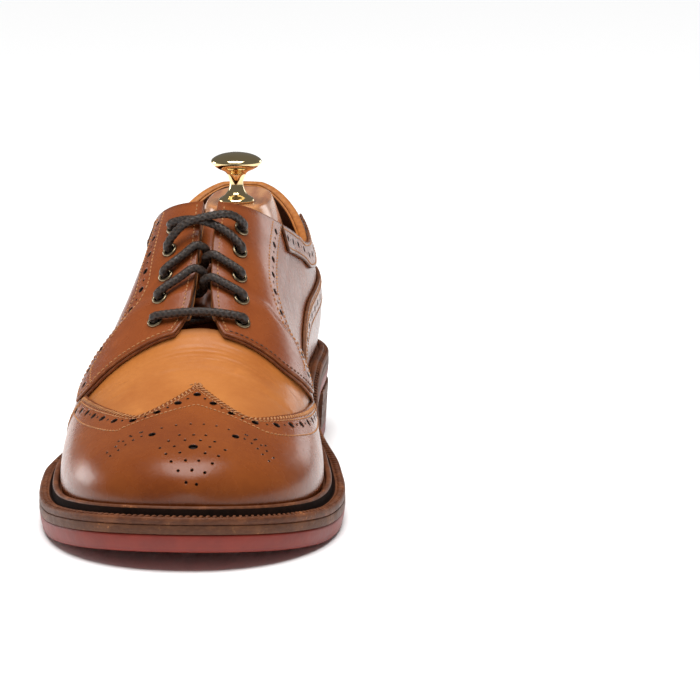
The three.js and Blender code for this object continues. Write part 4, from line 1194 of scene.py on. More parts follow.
class Upper:
    """All leather pieces above the welt."""

    vamp_at = (2.4, 3.8)
    overlay_at = (4.1, 5.5)
    facing_at = (4.1, FACING_TOP)
    lining_at = (0.0, 0.9)
    strip_at = (5.8, 6.8)
    tongue_at = (-8.4, -7.2)

    def __init__(self, finishes: Finishes, shapes: Shapes) -> None:
        """Keep the finishes and the shapes."""
        self.finishes = finishes
        self.shapes = shapes
        self.rows: list[tuple[Row, float]] = []
        self.dark_rows: list[tuple[Row, float]] = []
        self.whipped: list[tuple[Row, float]] = []

    def lifted(self, base: float, y: Array, across: Array) -> Array:
        """Distance of a quarter layer from the last, over the vamp where it lies there."""
        return base + OVERLAY_STEP * drape(y, across)

    # ---- wing cap and vamp
    def zigzag(self, across: Array, edge: Array, pitch: float, depth: float) -> Array:
        """Pinked edge: small even teeth along a line."""
        length = running_length(LAST.site(edge, across, np.full(edge.shape, 4.0)))
        tooth = np.abs((length / pitch) % 1 - 0.5) * 2
        return edge - depth * tooth

    def wing_limits(self, across: Array) -> Array:
        """Back edge of the wing, kept ahead of the quarters."""
        return np.minimum(wing_edge(across), quarter_front(across) - 1)

    def make_wing(self) -> None:
        """Wing cap with pinked edge, brogue band and medallion."""
        dense = np.linspace(-LAST.margin, LAST.margin, 2400)
        _, a = resample(self.wing_limits(dense), dense, 561)
        edge = self.zigzag(a, self.wing_limits(a), 2.2, 0.8)
        turn_edge = LAST.turn(edge)
        share = np.linspace(0, 1, 70)[:, None]
        y = LAST.station(share * turn_edge[None, :])
        across = np.linspace(-LAST.margin, LAST.margin, len(a))[None, :] * (1 - share) + a[None, :] * share
        across[0] = np.abs(across[0])
        wing = hide(
            "wing_cap_leather", y, across, *self.overlay_at, self.finishes.cap, self.finishes.raw_edge,
            0.12, True,
        )
        holes = self.band_holes() + self.medallion()
        self.punch(wing, holes, self.overlay_at)
        settle(wing, "upper_leather", "wing_cap")
        lift = np.full(a.shape, self.overlay_at[1] + 0.1)
        for distance, pitch, rows in ((1.5, STITCH_PITCH, self.whipped), (3.0, 2.0, self.rows)):
            rows.append((Row(*inset_line(self.wing_limits(a), a, distance, 1), lift), pitch))
        keep = np.abs(a) < 0.97
        low = np.minimum(band_line(a), self.wing_limits(a) - 4)
        self.rows.append((Row(low[keep], a[keep], lift[keep]), 2.0))

    def band_holes(self) -> list[Hole]:
        """Large holes with tiny ones between, midway along the brogue band."""
        a = np.linspace(-0.98, 0.98, 1500)
        low = np.minimum(band_line(a), self.wing_limits(a) - 4)
        middle = low * 0.48 + (self.wing_limits(a) - 2.2) * 0.52
        centre = np.argmin(np.abs(a))
        pitch = 5.0
        holes = []
        for part in (slice(centre, None), slice(centre, None, -1)):
            py, pa = middle[part], a[part]
            length = running_length(LAST.point(py, pa))
            for k in range(1 if part.step == -1 else 0, int(length[-1] / pitch)):
                at = k * pitch
                place = [float(np.interp(at, length, line)) for line in (py, pa)]
                holes.append(Hole(*place, 1.55 if k % 2 == 0 else 0.55))
        return holes

    def medallion(self) -> list[Hole]:
        """Diamond of small holes round a large one, with an arm to each side."""
        rows = (
            (15.3, (-0.06, 0.2)), (17.7, (-0.14, 0.04, 0.23)), (20.8, (-0.18, -0.045, 0.1, 0.25)),
            (24.3, (-0.2, -0.09, 0.135, 0.26)), (28.3, (-0.225, -0.125, 0.152, 0.275)),
            (32.8, (-0.155, -0.05, 0.06, 0.167)), (37.3, (-0.085, 0.002, 0.088)),
        )
        holes = [Hole(y, a, 0.62) for y, shares in rows for a in shares]
        holes.append(Hole(27.6, 0.013, 1.9))
        arm = ((40.5, 0.32), (39.3, 0.374), (37.6, 0.428), (36.0, 0.482), (35.0, 0.546))
        arch = ((44.6, 0.2), (46.0, 0.12), (46.8, 0.04), (44.0, 0.31), (43.6, 0.38), (42.5, 0.45))
        middle = 0.018
        for sign in (-1, 1):
            holes.append(Hole(40.2, middle + sign * 0.26, 1.5))
            dots = [(y + shift, reach) for y, reach in arm for shift in (0.0, 3.4)]
            holes += [Hole(y, middle + sign * reach, 0.5) for y, reach in (*dots, *arch)]
        return holes

    def punch(self, piece: bpy.types.Object, holes: list[Hole], layer: tuple[float, float],
              draped: bool = False) -> None:
        """Cut holes through a piece and lay dark discs under them as painted shade.

        Args:
            piece: The leather to cut.
            holes: Where to cut.
            layer: Distances of the leather from the last.
            draped: Whether the leather is lifted over the vamp.
        """
        y, a, r = (np.array([getattr(h, key) for h in holes]) for key in ("y", "across", "radius"))
        half = sum(layer) / 2
        middle = self.lifted(half, y, a) if draped else np.full(len(y), half)
        points, normals = LAST.site(y, a, middle), LAST.normal(y, a)
        tangents = unit(np.cross(normals, [0.1, 1.0, 0.2]))
        for size in sorted(set(r.tolist())):
            pick = r == size
            cutter = REPEAT.spread(
                "punch", self.shapes.punch, points[pick], normals[pick], tangents[pick], self.finishes.hole,
                size,
            )
            co = np.array([v.co for v in cutter.data.vertices])
            count = len(self.shapes.punch.data.vertices)
            centres = np.repeat(LAST.to_frame(points[pick]), count, axis=0)
            axes = np.repeat(normals[pick], count, axis=0)
            height = ((co - centres) * axes).sum(1, keepdims=True)
            co += axes * height * (1 / size - 1)
            cutter.data.vertices.foreach_set("co", co.ravel())
            cutter.data.update()
            modifier = piece.modifiers.new("holes", "BOOLEAN")
            modifier.operation = "DIFFERENCE"
            modifier.solver = "MANIFOLD"
            modifier.object = cutter
            before = len(piece.data.polygons)
            bake(piece)
            LOG.info("punched %s: %d to %d faces", piece.name, before, len(piece.data.polygons))
            bpy.data.objects.remove(cutter)
        self.darken(piece, points, normals, r)
        # Dark discs under the holes: painted shade in place of the shaded leather below.
        base = LAST.site(y, a, middle - (layer[1] - layer[0]) / 2 + 0.12)
        for size in sorted(set(r.tolist())):
            pick = r == size
            shade_disc = REPEAT.spread(
                f"{piece.name}_backing_{int(size * 100)}", self.shapes.disc, base[pick], normals[pick],
                tangents[pick], self.finishes.hole, size * 1.12,
            )
            settle(shade_disc, "stiffener_board")

    def darken(self, piece: bpy.types.Object, points: Array, normals: Array, radii: Array) -> None:
        """Paint the walls of punched holes near-black: painted shade inside the holes."""
        mesh = piece.data
        tree = KDTree(len(points))
        for i, p in enumerate(LAST.to_frame(points)):
            tree.insert(p, i)
        tree.balance()
        if self.finishes.hole.name not in mesh.materials:
            mesh.materials.append(self.finishes.hole)
        slot = mesh.materials.find(self.finishes.hole.name)
        for face in mesh.polygons:
            _, i, distance = tree.find(face.center)
            if distance < radii[i] * MM * 1.7 and abs(face.normal.dot(Vector(normals[i]))) < 0.4:
                face.material_index = slot

    def make_vamp(self) -> None:
        """Vamp between the wing cap and the quarters."""
        a = np.linspace(-LAST.margin, LAST.margin, 201)
        high = quarter_front(a) + vamp_tail(a)
        low = np.minimum(self.wing_limits(a) - 6, high - 9)
        share = np.linspace(0, 1, 150)[:, None]
        y = low[None, :] + (high - low)[None, :] * share
        across = np.broadcast_to(a[None, :], y.shape)
        crease = sum(
            depth * np.exp(-(((y - at + 26 * bend * (across - 0.02) ** 2) / width) ** 2))
            * np.exp(-((np.abs(across - where) / reach) ** 4))
            for at, depth, width, bend, where, reach in (
                (108.6, -0.16, 0.8, 1.0, 0.08, 0.3), (106.2, -0.2, 0.7, 1.0, 0.04, 0.34),
                (103.9, -0.17, 0.75, 1.1, 0.1, 0.3), (101.8, -0.12, 0.7, 1.1, 0.02, 0.26),
                (98.5, 0.3, 2.6, 1.0, 0.1, 0.4), (93.0, -0.25, 2.4, 0.8, 0.3, 0.3),
                (95.0, -0.2, 1.4, 0.9, -0.3, 0.22),
            )
        )
        fade = ramp(0, 5, y - low[None, :] - 4) * ramp(0, 5, quarter_front(across) - y + 2)
        outer = self.vamp_at[1] + crease * fade * 0.8
        vamp = hide(
            "vamp_leather", y, across, self.vamp_at[0], outer, self.finishes.vamp, self.finishes.raw_edge
        )
        settle(vamp, "vamp_leather", "vamp")

    # ---- quarters, facings, bands and linings
    def upper_corner(self, side: Side) -> float:
        """Length at which the gap between the facings meets the topline."""
        y = np.linspace(150, 200, 801)
        z = LAST.point(y, side.value * facing_gap(y))[..., 2]
        return float(y[np.argmax(z > topline(y))])

    def throat_corner(self) -> float:
        """Share across at which the gap meets the quarter's front edge."""
        a = np.linspace(0.06, 0.25, 500)
        return float(a[np.argmax(facing_gap(quarter_front(a)) < a)])

    def gap_line(self, side: Side, shift: float = 0.0) -> tuple[Array, Array]:
        """Front edge of the facing up to the topline."""
        start = float(quarter_front(np.array(self.throat_corner()))) + shift
        y = np.linspace(start, self.upper_corner(side), 120)
        return y, side.value * facing_gap(y)

    def topline_line(self, side: Side, start: float, stop: float, drop: float = 0.0) -> tuple[Array, Array]:
        """Topline, or a line a little below it."""
        y = LAST.station(np.linspace(float(LAST.turn(start)), float(LAST.turn(stop)), 240))
        return y, side.value * LAST.across_at(y, topline(y) - drop, side.value)

    def quarter_grid(
        self, side: Side, rows: int, columns: int, front_shift: float = 0.0
    ) -> tuple[Array, Array]:
        """Grid over a whole quarter."""
        s = side.value
        gap = self.gap_line(side, front_shift)
        a = np.linspace(LAST.margin, abs(gap[1][0]), 160) * s
        front = (quarter_front(a) + front_shift, a)
        bottom_y = LAST.station(np.linspace(float(LAST.turn(front[0][0])), 1, 200))
        bottom = (bottom_y, np.full(200, LAST.margin * s))
        gap = (np.concatenate([front[0][-1:], gap[0][1:]]), gap[1])
        line = self.topline_line(side, self.upper_corner(side), LAST.heel)
        top = (np.concatenate([gap[0], line[0][1:]]), np.concatenate([gap[1], line[1][1:]]))
        back_a = np.linspace(LAST.margin * s, top[1][-1], 80)
        back = (np.full(80, LAST.heel), back_a)
        return coons(front, back, bottom, top, rows, columns)

    def facing_grid(self, side: Side) -> tuple[Array, Array, tuple[Array, Array], tuple[Array, Array]]:
        """Grid over a facing, with its front edge line and its back edge line."""
        s = side.value
        span = np.linspace(percent(33), percent(64), 1200)
        back_share = facing_back(span, side)
        start = int(np.argmax(quarter_front(s * back_share) < span))
        top_height = LAST.point(span, s * back_share)[..., 2] - topline(span)
        inside = (np.arange(len(span)) > start + 40) & (top_height > 0)
        stop = int(np.argmax(inside)) if inside.any() else len(span) - 1
        back = (span[start:stop], s * back_share[start:stop])
        a = np.linspace(self.throat_corner(), abs(back[1][0]), 140) * s
        front = (quarter_front(a), a)
        gap = self.gap_line(side)
        top = self.topline_line(side, self.upper_corner(side), float(back[0][-1]))
        y, across = coons(front, top, gap, back, 80, 130)
        edge = tuple(np.concatenate([part[::-1], line[1:]]) for part, line in zip(front, gap))
        return y, across, edge, back

    def make_side(self, side: Side) -> None:
        """Quarter, facing, band and lining of one side."""
        f = self.finishes
        y, a = self.quarter_grid(side, 90, 230)
        quarter = hide(
            f"quarter_{side.label}_leather", y, a, self.lifted(self.vamp_at[0], y, a),
            self.lifted(self.vamp_at[1], y, a), f.quarter, f.fold,
        )
        settle(quarter, "upper_leather", f"quarter_{side.label}")
        y, a, edge, back = self.facing_grid(side)
        facing = hide(
            f"facing_{side.label}_leather", y, a, self.lifted(self.facing_at[0], y, a),
            self.lifted(self.facing_at[1], y, a), f.quarter, f.fold, 0.3,
        )
        holes = [Hole(*eyelet_place(row, side.value), 2.5) for row in EYELET_ROWS]
        outer = self.facing_at[1]
        inset = self.on_facing(*inset_line(*edge, 2.0, side.value))
        lift = self.lifted(outer + THREAD_LIFT, *inset)
        # On the medial side, stitches along the quarter's front edge get the darkened thread as painted
        # shade.
        front = np.abs(inset[1]) > self.throat_corner() + 0.02
        painted_shade_part = front if side is Side.MEDIAL else np.zeros(len(front), bool)
        for pick, rows_to in ((~painted_shade_part, self.rows), (painted_shade_part, self.dark_rows)):
            if pick.any():
                rows_to.append((Row(inset[0][pick], inset[1][pick], lift[pick]), 2.3))
        for distance in (1.4, 9.2):
            line = self.on_facing(*inset_line(*back, distance, -side.value))
            self.rows.append((Row(*line, self.lifted(outer + THREAD_LIFT, *line)), STITCH_PITCH))
        middle = self.on_facing(*inset_line(*back, 5.3, -side.value))
        length = running_length(LAST.point(*middle))
        for k in range(int(length[-1] / HOLE_PITCH)):
            at = 4 + k * HOLE_PITCH
            if at < length[-1] - 3:
                place = [float(np.interp(at, length, line)) for line in middle]
                holes.append(Hole(*place, HOLE_RADII[k % 2]))
        self.punch(facing, holes, self.facing_at, True)
        settle(facing, "upper_leather", f"facing_{side.label}")
        self.make_band(side, float(back[0][-1]) + 1.5)
        y, a = self.quarter_grid(side, 60, 150, 10.0)
        inner = self.lining_at[0] - 0.8 * ramp(percent(78), percent(88), y)
        lining = hide(
            f"quarter_lining_{side.label}_leather", y, a, inner, self.lining_at[1], f.lining, f.binding
        )
        settle(lining, "lining_leather", f"quarter_lining_{side.label}")

    def on_facing(self, y: Array, across: Array) -> tuple[Array, Array]:
        """Part of a line that lies on the facing."""
        inside = (y > quarter_front(across) + 1.2) & (LAST.point(y, across)[..., 2] < topline(y) - 1.5)
        return y[inside], across[inside]

    def make_band(self, side: Side, start: float) -> None:
        """Perforated strip along the topline."""
        s = side.value
        high = self.topline_line(side, start, percent(90))
        low = self.topline_line(side, start, percent(90), 11.0)
        share = np.linspace(0, 1, 16)[:, None]
        count = 260
        high, low = resample(*high, count), resample(*low, count)
        y = low[0][None, :] * (1 - share) + high[0][None, :] * share
        a = low[1][None, :] * (1 - share) + high[1][None, :] * share
        band = hide(
            f"topline_band_{side.label}_leather", y, a, self.lifted(self.facing_at[0], y, a),
            self.lifted(self.facing_at[1], y, a), self.finishes.quarter, self.finishes.raw_edge,
        )
        middle = resample((low[0] + high[0]) / 2, (low[1] + high[1]) / 2, count)
        length = line_length(*middle)
        holes = []
        for k in range(int((length - 4) / HOLE_PITCH)):
            at = (k * HOLE_PITCH + 3) / length
            place = [float(np.interp(at, np.linspace(0, 1, count), line)) for line in middle]
            holes.append(Hole(*place, HOLE_RADII[k % 2]))
        self.punch(band, holes, self.facing_at, True)
        settle(band, "upper_leather", f"topline_band_{side.label}")
        for line, distance, towards in ((low, 1.3, -s), (high, 1.5, s)):
            row = inset_line(*line, distance, towards)
            self.rows.append((Row(*row, self.lifted(self.facing_at[1] + THREAD_LIFT, *row)), STITCH_PITCH))

    def make_counter(self) -> None:
        """Heel counter that wraps round the back, with a perforated upper edge."""
        start = float(LAST.turn(percent(60.5)))
        turn = np.linspace(start, 2 - start, 361)
        folded = np.where(turn > 1, 2 - turn, turn)
        y_line = LAST.station(folded)
        sign = np.where(turn > 1, -1.0, 1.0)
        top = LAST.across_at(y_line, counter_top(y_line), sign)
        share = np.linspace(0, 1, 60)[:, None]
        a = (LAST.margin + (top[None, :] - LAST.margin) * share) * sign[None, :]
        y = np.broadcast_to(y_line[None, :], a.shape)
        counter = hide(
            "counter_foxing_leather", y, a, self.lifted(self.overlay_at[0], y, a),
            self.lifted(self.overlay_at[1], y, a), self.finishes.quarter, self.finishes.raw_edge,
        )
        holes: list[Hole] = []
        for side in Side:
            pick = sign == side.value
            line_y, line_a = y_line[pick], top[pick] * side.value
            order = np.argsort(line_y)
            line_y, line_a = line_y[order], line_a[order]
            keep = line_y < LAST.heel - 1.5
            line_y, line_a = line_y[keep], line_a[keep]
            for distance in (1.3, 2.7, 9.4):
                row = inset_line(line_y, line_a, distance, side.value)
                lift = self.lifted(self.overlay_at[1] + THREAD_LIFT, *row)
                self.rows.append((Row(*row, lift), STITCH_PITCH))
            middle = resample(*inset_line(line_y, line_a, 6.0, side.value), 200)
            length = line_length(*middle)
            for k in range(int((length - 8) / HOLE_PITCH)):
                at = (4 + HOLE_PITCH * k) / length
                place = [float(np.interp(at, np.linspace(0, 1, 200), line)) for line in middle]
                holes.append(Hole(*place, HOLE_RADII[k % 2]))
        self.punch(counter, holes, self.overlay_at, True)
        settle(counter, "upper_leather", "counter_foxing")

    def make_back_strip(self) -> None:
        """Narrow strip over the back seam."""
        turn = np.linspace(0.962, 2 - 0.962, 41)
        y_line = LAST.station(np.where(turn > 1, 2 - turn, turn))
        sign = np.where(turn > 1, -1.0, 1.0)
        top = LAST.across_at(y_line, topline(y_line) - 1.6, sign)
        foot = LAST.across_at(y_line, LAST.feather(y_line) + 6, sign)
        share = np.linspace(0, 1, 70)[:, None]
        a = (foot[None, :] + (top - foot)[None, :] * share) * sign[None, :]
        y = np.broadcast_to(y_line[None, :], a.shape)
        height = LAST.point(y, a)[..., 2]
        sunk = 1.8 * ramp(1, 8, height - counter_top(y))
        low, high = self.strip_at
        strip = hide(
            "back_strip_leather", y, a, low - sunk, high - sunk, self.finishes.quarter, self.finishes.raw_edge
        )
        settle(strip, "upper_leather", "back_strip")
        for column in (3, 37):
            lift = high + THREAD_LIFT - sunk[2:-2, column]
            self.rows.append((Row(y[2:-2, column], a[2:-2, column], lift), STITCH_PITCH))

    def make_tongue(self) -> None:
        """Tongue under the lacing, with a pinked top edge."""
        start, tip = percent(36.4), percent(55.2)
        a = np.linspace(-0.3, 0.3, 161)
        tooth = np.abs((np.arange(len(a)) / 5) % 1 - 0.5) * 2
        high = tip - 0.9 * tooth - 26 * np.abs(a) ** 2
        share = np.linspace(0, 1, 70)[:, None]
        y = start + (high[None, :] - start) * share
        across = np.broadcast_to(a[None, :], y.shape)
        low, high = self.tongue_at
        rise = (self.lining_at[1] + 1.2 - high) * (1 - np.clip((y - start) / percent(2.6), 0, 1))
        tongue = hide(
            "tongue_leather", y, across, low + rise, high + rise, self.finishes.quarter,
            self.finishes.raw_edge,
        )
        settle(tongue, "upper_leather", "tongue")

    def make_binding(self) -> None:
        """Rolled collar edge along the topline, one half for each side."""
        for side in Side:
            y, a = self.topline_line(side, self.upper_corner(side) + 1, LAST.heel)
            y, a = resample(y, a, 160)
            base = LAST.site(y, a, self.lifted(1.9, y, a))
            up = unit(LAST.site(y, a * 0.995, self.lifted(1.9, y, a)) - base)
            out = LAST.normal(y, a)
            sides = 12
            angle = round_angles(sides)
            ring = (out[:, None, :] * (1.75 * np.cos(angle))[None, :, None]
                    + up[:, None, :] * (0.75 * np.sin(angle))[None, :, None])
            points = (base[:, None, :] + up[:, None, :] * 0.35 + ring).reshape(-1, 3)
            faces = tube_faces(len(y), sides)
            piece = make_mesh(f"collar_binding_{side.label}", points, faces, [self.finishes.binding])
            merge(piece)
            settle(piece, "lining_leather")

    def sew(self) -> None:
        """All visible stitches of the upper, in three pieces."""
        for label, rows, finish, shape, slant in (
            ("upper_stitches", self.rows, self.finishes.thread, self.shapes.stitch, 0.0),
            # This piece uses the darkened thread: painted shade.
            ("quarter_front_stitches", self.dark_rows, self.finishes.dark_thread, self.shapes.stitch, 0.0),
            ("wing_edge_stitches", self.whipped, self.finishes.thread, self.shapes.whip, 0.9),
        ):
            parts = [row.sites(pitch) for row, pitch in rows]
            points, normals, tangents = (np.concatenate([part[i] for part in parts]) for i in range(3))
            tangents = tangents * math.cos(slant) + np.cross(normals, tangents) * math.sin(slant)
            piece = REPEAT.spread(label, shape, points, normals, tangents, finish, 1.0, 0.12)
            settle(piece, "upper_leather")

    def build(self) -> None:
        """Make every leather piece."""
        self.make_wing()
        self.make_vamp()
        for side in Side:
            self.make_side(side)
        self.make_counter()
        self.make_back_strip()
        self.make_tongue()
        self.make_binding()
        self.sew()


# ---------------------------------------------------------------- bottom
def welt_reach(y: Array) -> Array:
    """How far the welt stands out from the last."""
    return 14.5 + (11 - 14.5) * ramp(percent(38), percent(66), y)


@dataclass
class Bottom:
    """Sole, midsole, welt and heel, all on one outline."""

    finishes: Finishes
    shapes: Shapes
    stations: int = 110
    outsole: float = 7.0
    midsole_top: float = 10.72
    heel_height: float = 23.7
    taper: float = 1.5

    def ring(self, first: float = 0.0) -> tuple[Array, Array]:
        """Stations and signs once round the outline, from the toe or the heel breast."""
        turn = np.linspace(float(LAST.turn(max(first, LAST.toe))), 1, self.stations)
        y = LAST.station(turn)
        lateral = y[1:-1][::-1] if first == 0 else y[:-1][::-1]
        return np.concatenate([y, lateral]), np.concatenate([np.ones(len(y)), -np.ones(len(lateral))])

    def edge(self, y: Array, sign: Array, reach: Array) -> Array:
        """Plan points of the outline."""
        point, normal = LAST.point(y, sign), LAST.normal(y, sign)
        return point[..., :2] + normal[..., :2] * np.asarray(reach)[..., None]

    def slab(
        self, name: str, low: Callable[[Array], Array], high: Callable[[Array], Array],
        reach: Callable[[Array, float], Array], finish: bpy.types.Material, bead: float,
        first: float = 0.0,
    ) -> bpy.types.Object:
        """Layer of the bottom with rounded arrises.

        Args:
            name: Name of the piece.
            low: Height of its lower face along the length.
            high: Height of its upper face along the length.
            reach: How far it stands out, from the place and the share of its thickness.
            finish: Material.
            bead: Radius of its arrises in millimetres.
            first: Where it starts, 0 for the toe.

        Returns:
            The layer.
        """
        y, sign = self.ring(first)
        count = len(y)
        profile = (
            (0.0, -bead), (0.06, -0.3 * bead), (0.14, 0.0), (0.5, 0.0), (0.86, 0.0), (0.94, -0.3 * bead),
            (1.0, -bead),
        )
        rings = []
        for share, out in profile:
            plan = self.edge(y, sign, reach(y, share) + out)
            height = low(plan[:, 1]) * (1 - share) + high(plan[:, 1]) * share
            rings.append(np.concatenate([plan, height[:, None]], 1))
        faces = tube_sides(len(profile), count)
        across_from = [(count - k) % count if first == 0 else count - 1 - k for k in range(self.stations)]
        for start, flip in ((0, True), ((len(profile) - 1) * count, False)):
            for k in range(self.stations - 1):
                corners = dict.fromkeys([k, k + 1, across_from[k + 1], across_from[k]])
                quad = [start + corner for corner in corners]
                faces.append(quad[::-1] if flip else quad)
        piece = make_mesh(name, np.concatenate(rings), faces, [finish])
        merge(piece)
        self.sharpen(piece)
        return piece

    def sharpen(self, piece: bpy.types.Object) -> None:
        """Shade only gentle bends smooth."""
        piece.data.shade_smooth()
        piece.data.set_sharp_from_angle(angle=math.radians(50))

    def make_layers(self) -> None:
        """Outsole, midsole and heel layers."""
        f = self.finishes
        sole = self.slab(
            "outsole_rubber", LAST.sole_under, self.over_sole(self.outsole),
            lambda y, share: welt_reach(y) - 1.2 * (1 - share) ** 2, f.rubber, 0.6,
        )
        settle(sole, "red_rubber", "outsole")
        middle = self.slab(
            "midsole_leather", self.over_sole(self.outsole + 0.05), self.over_sole(self.midsole_top),
            lambda y, share: welt_reach(y) + 0.15, f.midsole, 0.45,
        )
        settle(middle, "sole_leather", "midsole")
        top_piece = 6.0
        thick = (self.heel_height - top_piece) / 3
        layers = [("heel_top_piece", "rubber", 0.0, top_piece - 0.1, f.rubber, "red_rubber")]
        for i in range(3):
            low = top_piece + i * thick
            lift = (f"heel_lift_{3 - i}", "leather", low, low + thick - 0.1, f.midsole, "sole_leather")
            layers.append(lift)
        for node, kind, low, high, finish, slot in layers:
            settle(self.heel_layer(f"{node}_{kind}", low, high, finish), slot, node)

    def over_sole(self, lift: float) -> Callable[[Array], Array]:
        """Height that stays a fixed way above the underside of the sole."""
        return lambda y: LAST.sole_under(y) + lift

    def heel_layer(
        self, name: str, low: float, high: float, finish: bpy.types.Material
    ) -> bpy.types.Object:
        """One layer of the heel, smaller towards the ground.

        Args:
            name: Name of the piece.
            low: Height of its lower face.
            high: Height of its upper face.
            finish: Material.

        Returns:
            The layer.
        """

        def reach(y: Array, share: float) -> Array:
            """How far the layer stands out."""
            return welt_reach(y) - self.taper * (1 - (low + (high - low) * share) / self.heel_height)

        return self.slab(
            name, lambda y: np.full(np.shape(y), low), lambda y: np.full(np.shape(y), high), reach, finish,
            0.3, LAST.breast,
        )

    def make_welt(self) -> None:
        """Storm welt: a stitched shelf, a groove and a lip against the upper."""
        y, sign = self.ring()
        base, shelf = self.over_sole(self.midsole_top + 0.03), LAST.welt_top

        def lip(at: Array) -> Array:
            """Height of the lip's top, lower towards the heel."""
            return shelf(at) + 4 * (1 - 0.6 * ramp(percent(60), percent(72), at))

        reach = welt_reach(y)
        corners = [
            (-2.0, base, 0.0), (reach - 0.4, base, 0.0), (reach + 0.1, base, 0.5),
            (reach + 0.15, shelf, -1.0), (reach - 0.1, shelf, -0.35), (reach - 0.6, shelf, 0.0), (10.6, shelf, 0.05), (9.6, shelf, -0.55),
            (9.2, shelf, 0.2), (9.15, lip, -1.0), (8.7, lip, -0.2), (8.0, lip, 0.05), (7.2, lip, -0.1),
            (6.75, lip, -0.7), (6.7, shelf, 0.1), (-2.0, shelf, 0.0),
        ]
        groove_corners = (6, 7, 8)
        count, n = len(y), len(corners)
        rings = []
        for out, height, shift in corners:
            plan = self.edge(y, sign, np.minimum(out, reach + 0.15))
            rings.append(np.concatenate([plan, (height(plan[:, 1]) + shift)[:, None]], 1))
        faces = [
            [i * count + k, i * count + (k + 1) % count, (i + 1) % n * count + (k + 1) % count,
             (i + 1) % n * count + k]
            for i in range(n) for k in range(count)
        ]
        leather = [self.finishes.welt, self.finishes.groove]
        piece = make_mesh("storm_welt_leather", np.concatenate(rings), faces, leather)
        # The groove faces take the near-black painted-shade finish.
        groove = np.array([face // count in groove_corners for face in range(len(faces))], np.int32)
        piece.data.polygons.foreach_set("material_index", groove)
        merge(piece)
        self.sharpen(piece)
        settle(piece, "sole_leather", "storm_welt")
        self.sew_welt(y, sign, reach, shelf)

    def sew_welt(self, y: Array, sign: Array, reach: Array, shelf: Callable[[Array], Array]) -> None:
        """Close stitches round the welt, slanted across its shelf."""
        plan = self.edge(y, sign, reach - 1.9)
        line = np.concatenate([plan, (shelf(plan[:, 1]) + 0.1)[:, None]], 1)
        line = even_line(np.concatenate([line, line[:1]]), 2.6)[:-1]
        ahead = unit(np.roll(line, -1, axis=0) - np.roll(line, 1, axis=0))
        up = np.tile([0.0, 0.0, 1.0], (len(line), 1))
        across = np.cross(up, ahead)
        slant = across * 0.85 + ahead * 0.5
        piece = REPEAT.spread(
            "welt_stitches", self.shapes.welt_stitch, line, up, slant, self.finishes.welt, 1.0, 0.1
        )
        settle(piece, "sole_leather")

    def build(self) -> None:
        """Make every piece of the bottom."""
        self.make_layers()
        self.make_welt()


# ---------------------------------------------------------------- eyelets and lace
def eyelet_place(row: int, sign: float) -> tuple[float, float]:
    """Place of an eyelet, rows counted from the top."""
    t = (row - 1) / 4
    return percent(51.4) + (percent(38.7) - percent(51.4)) * t, sign * (0.19 + 0.025 * t * t)


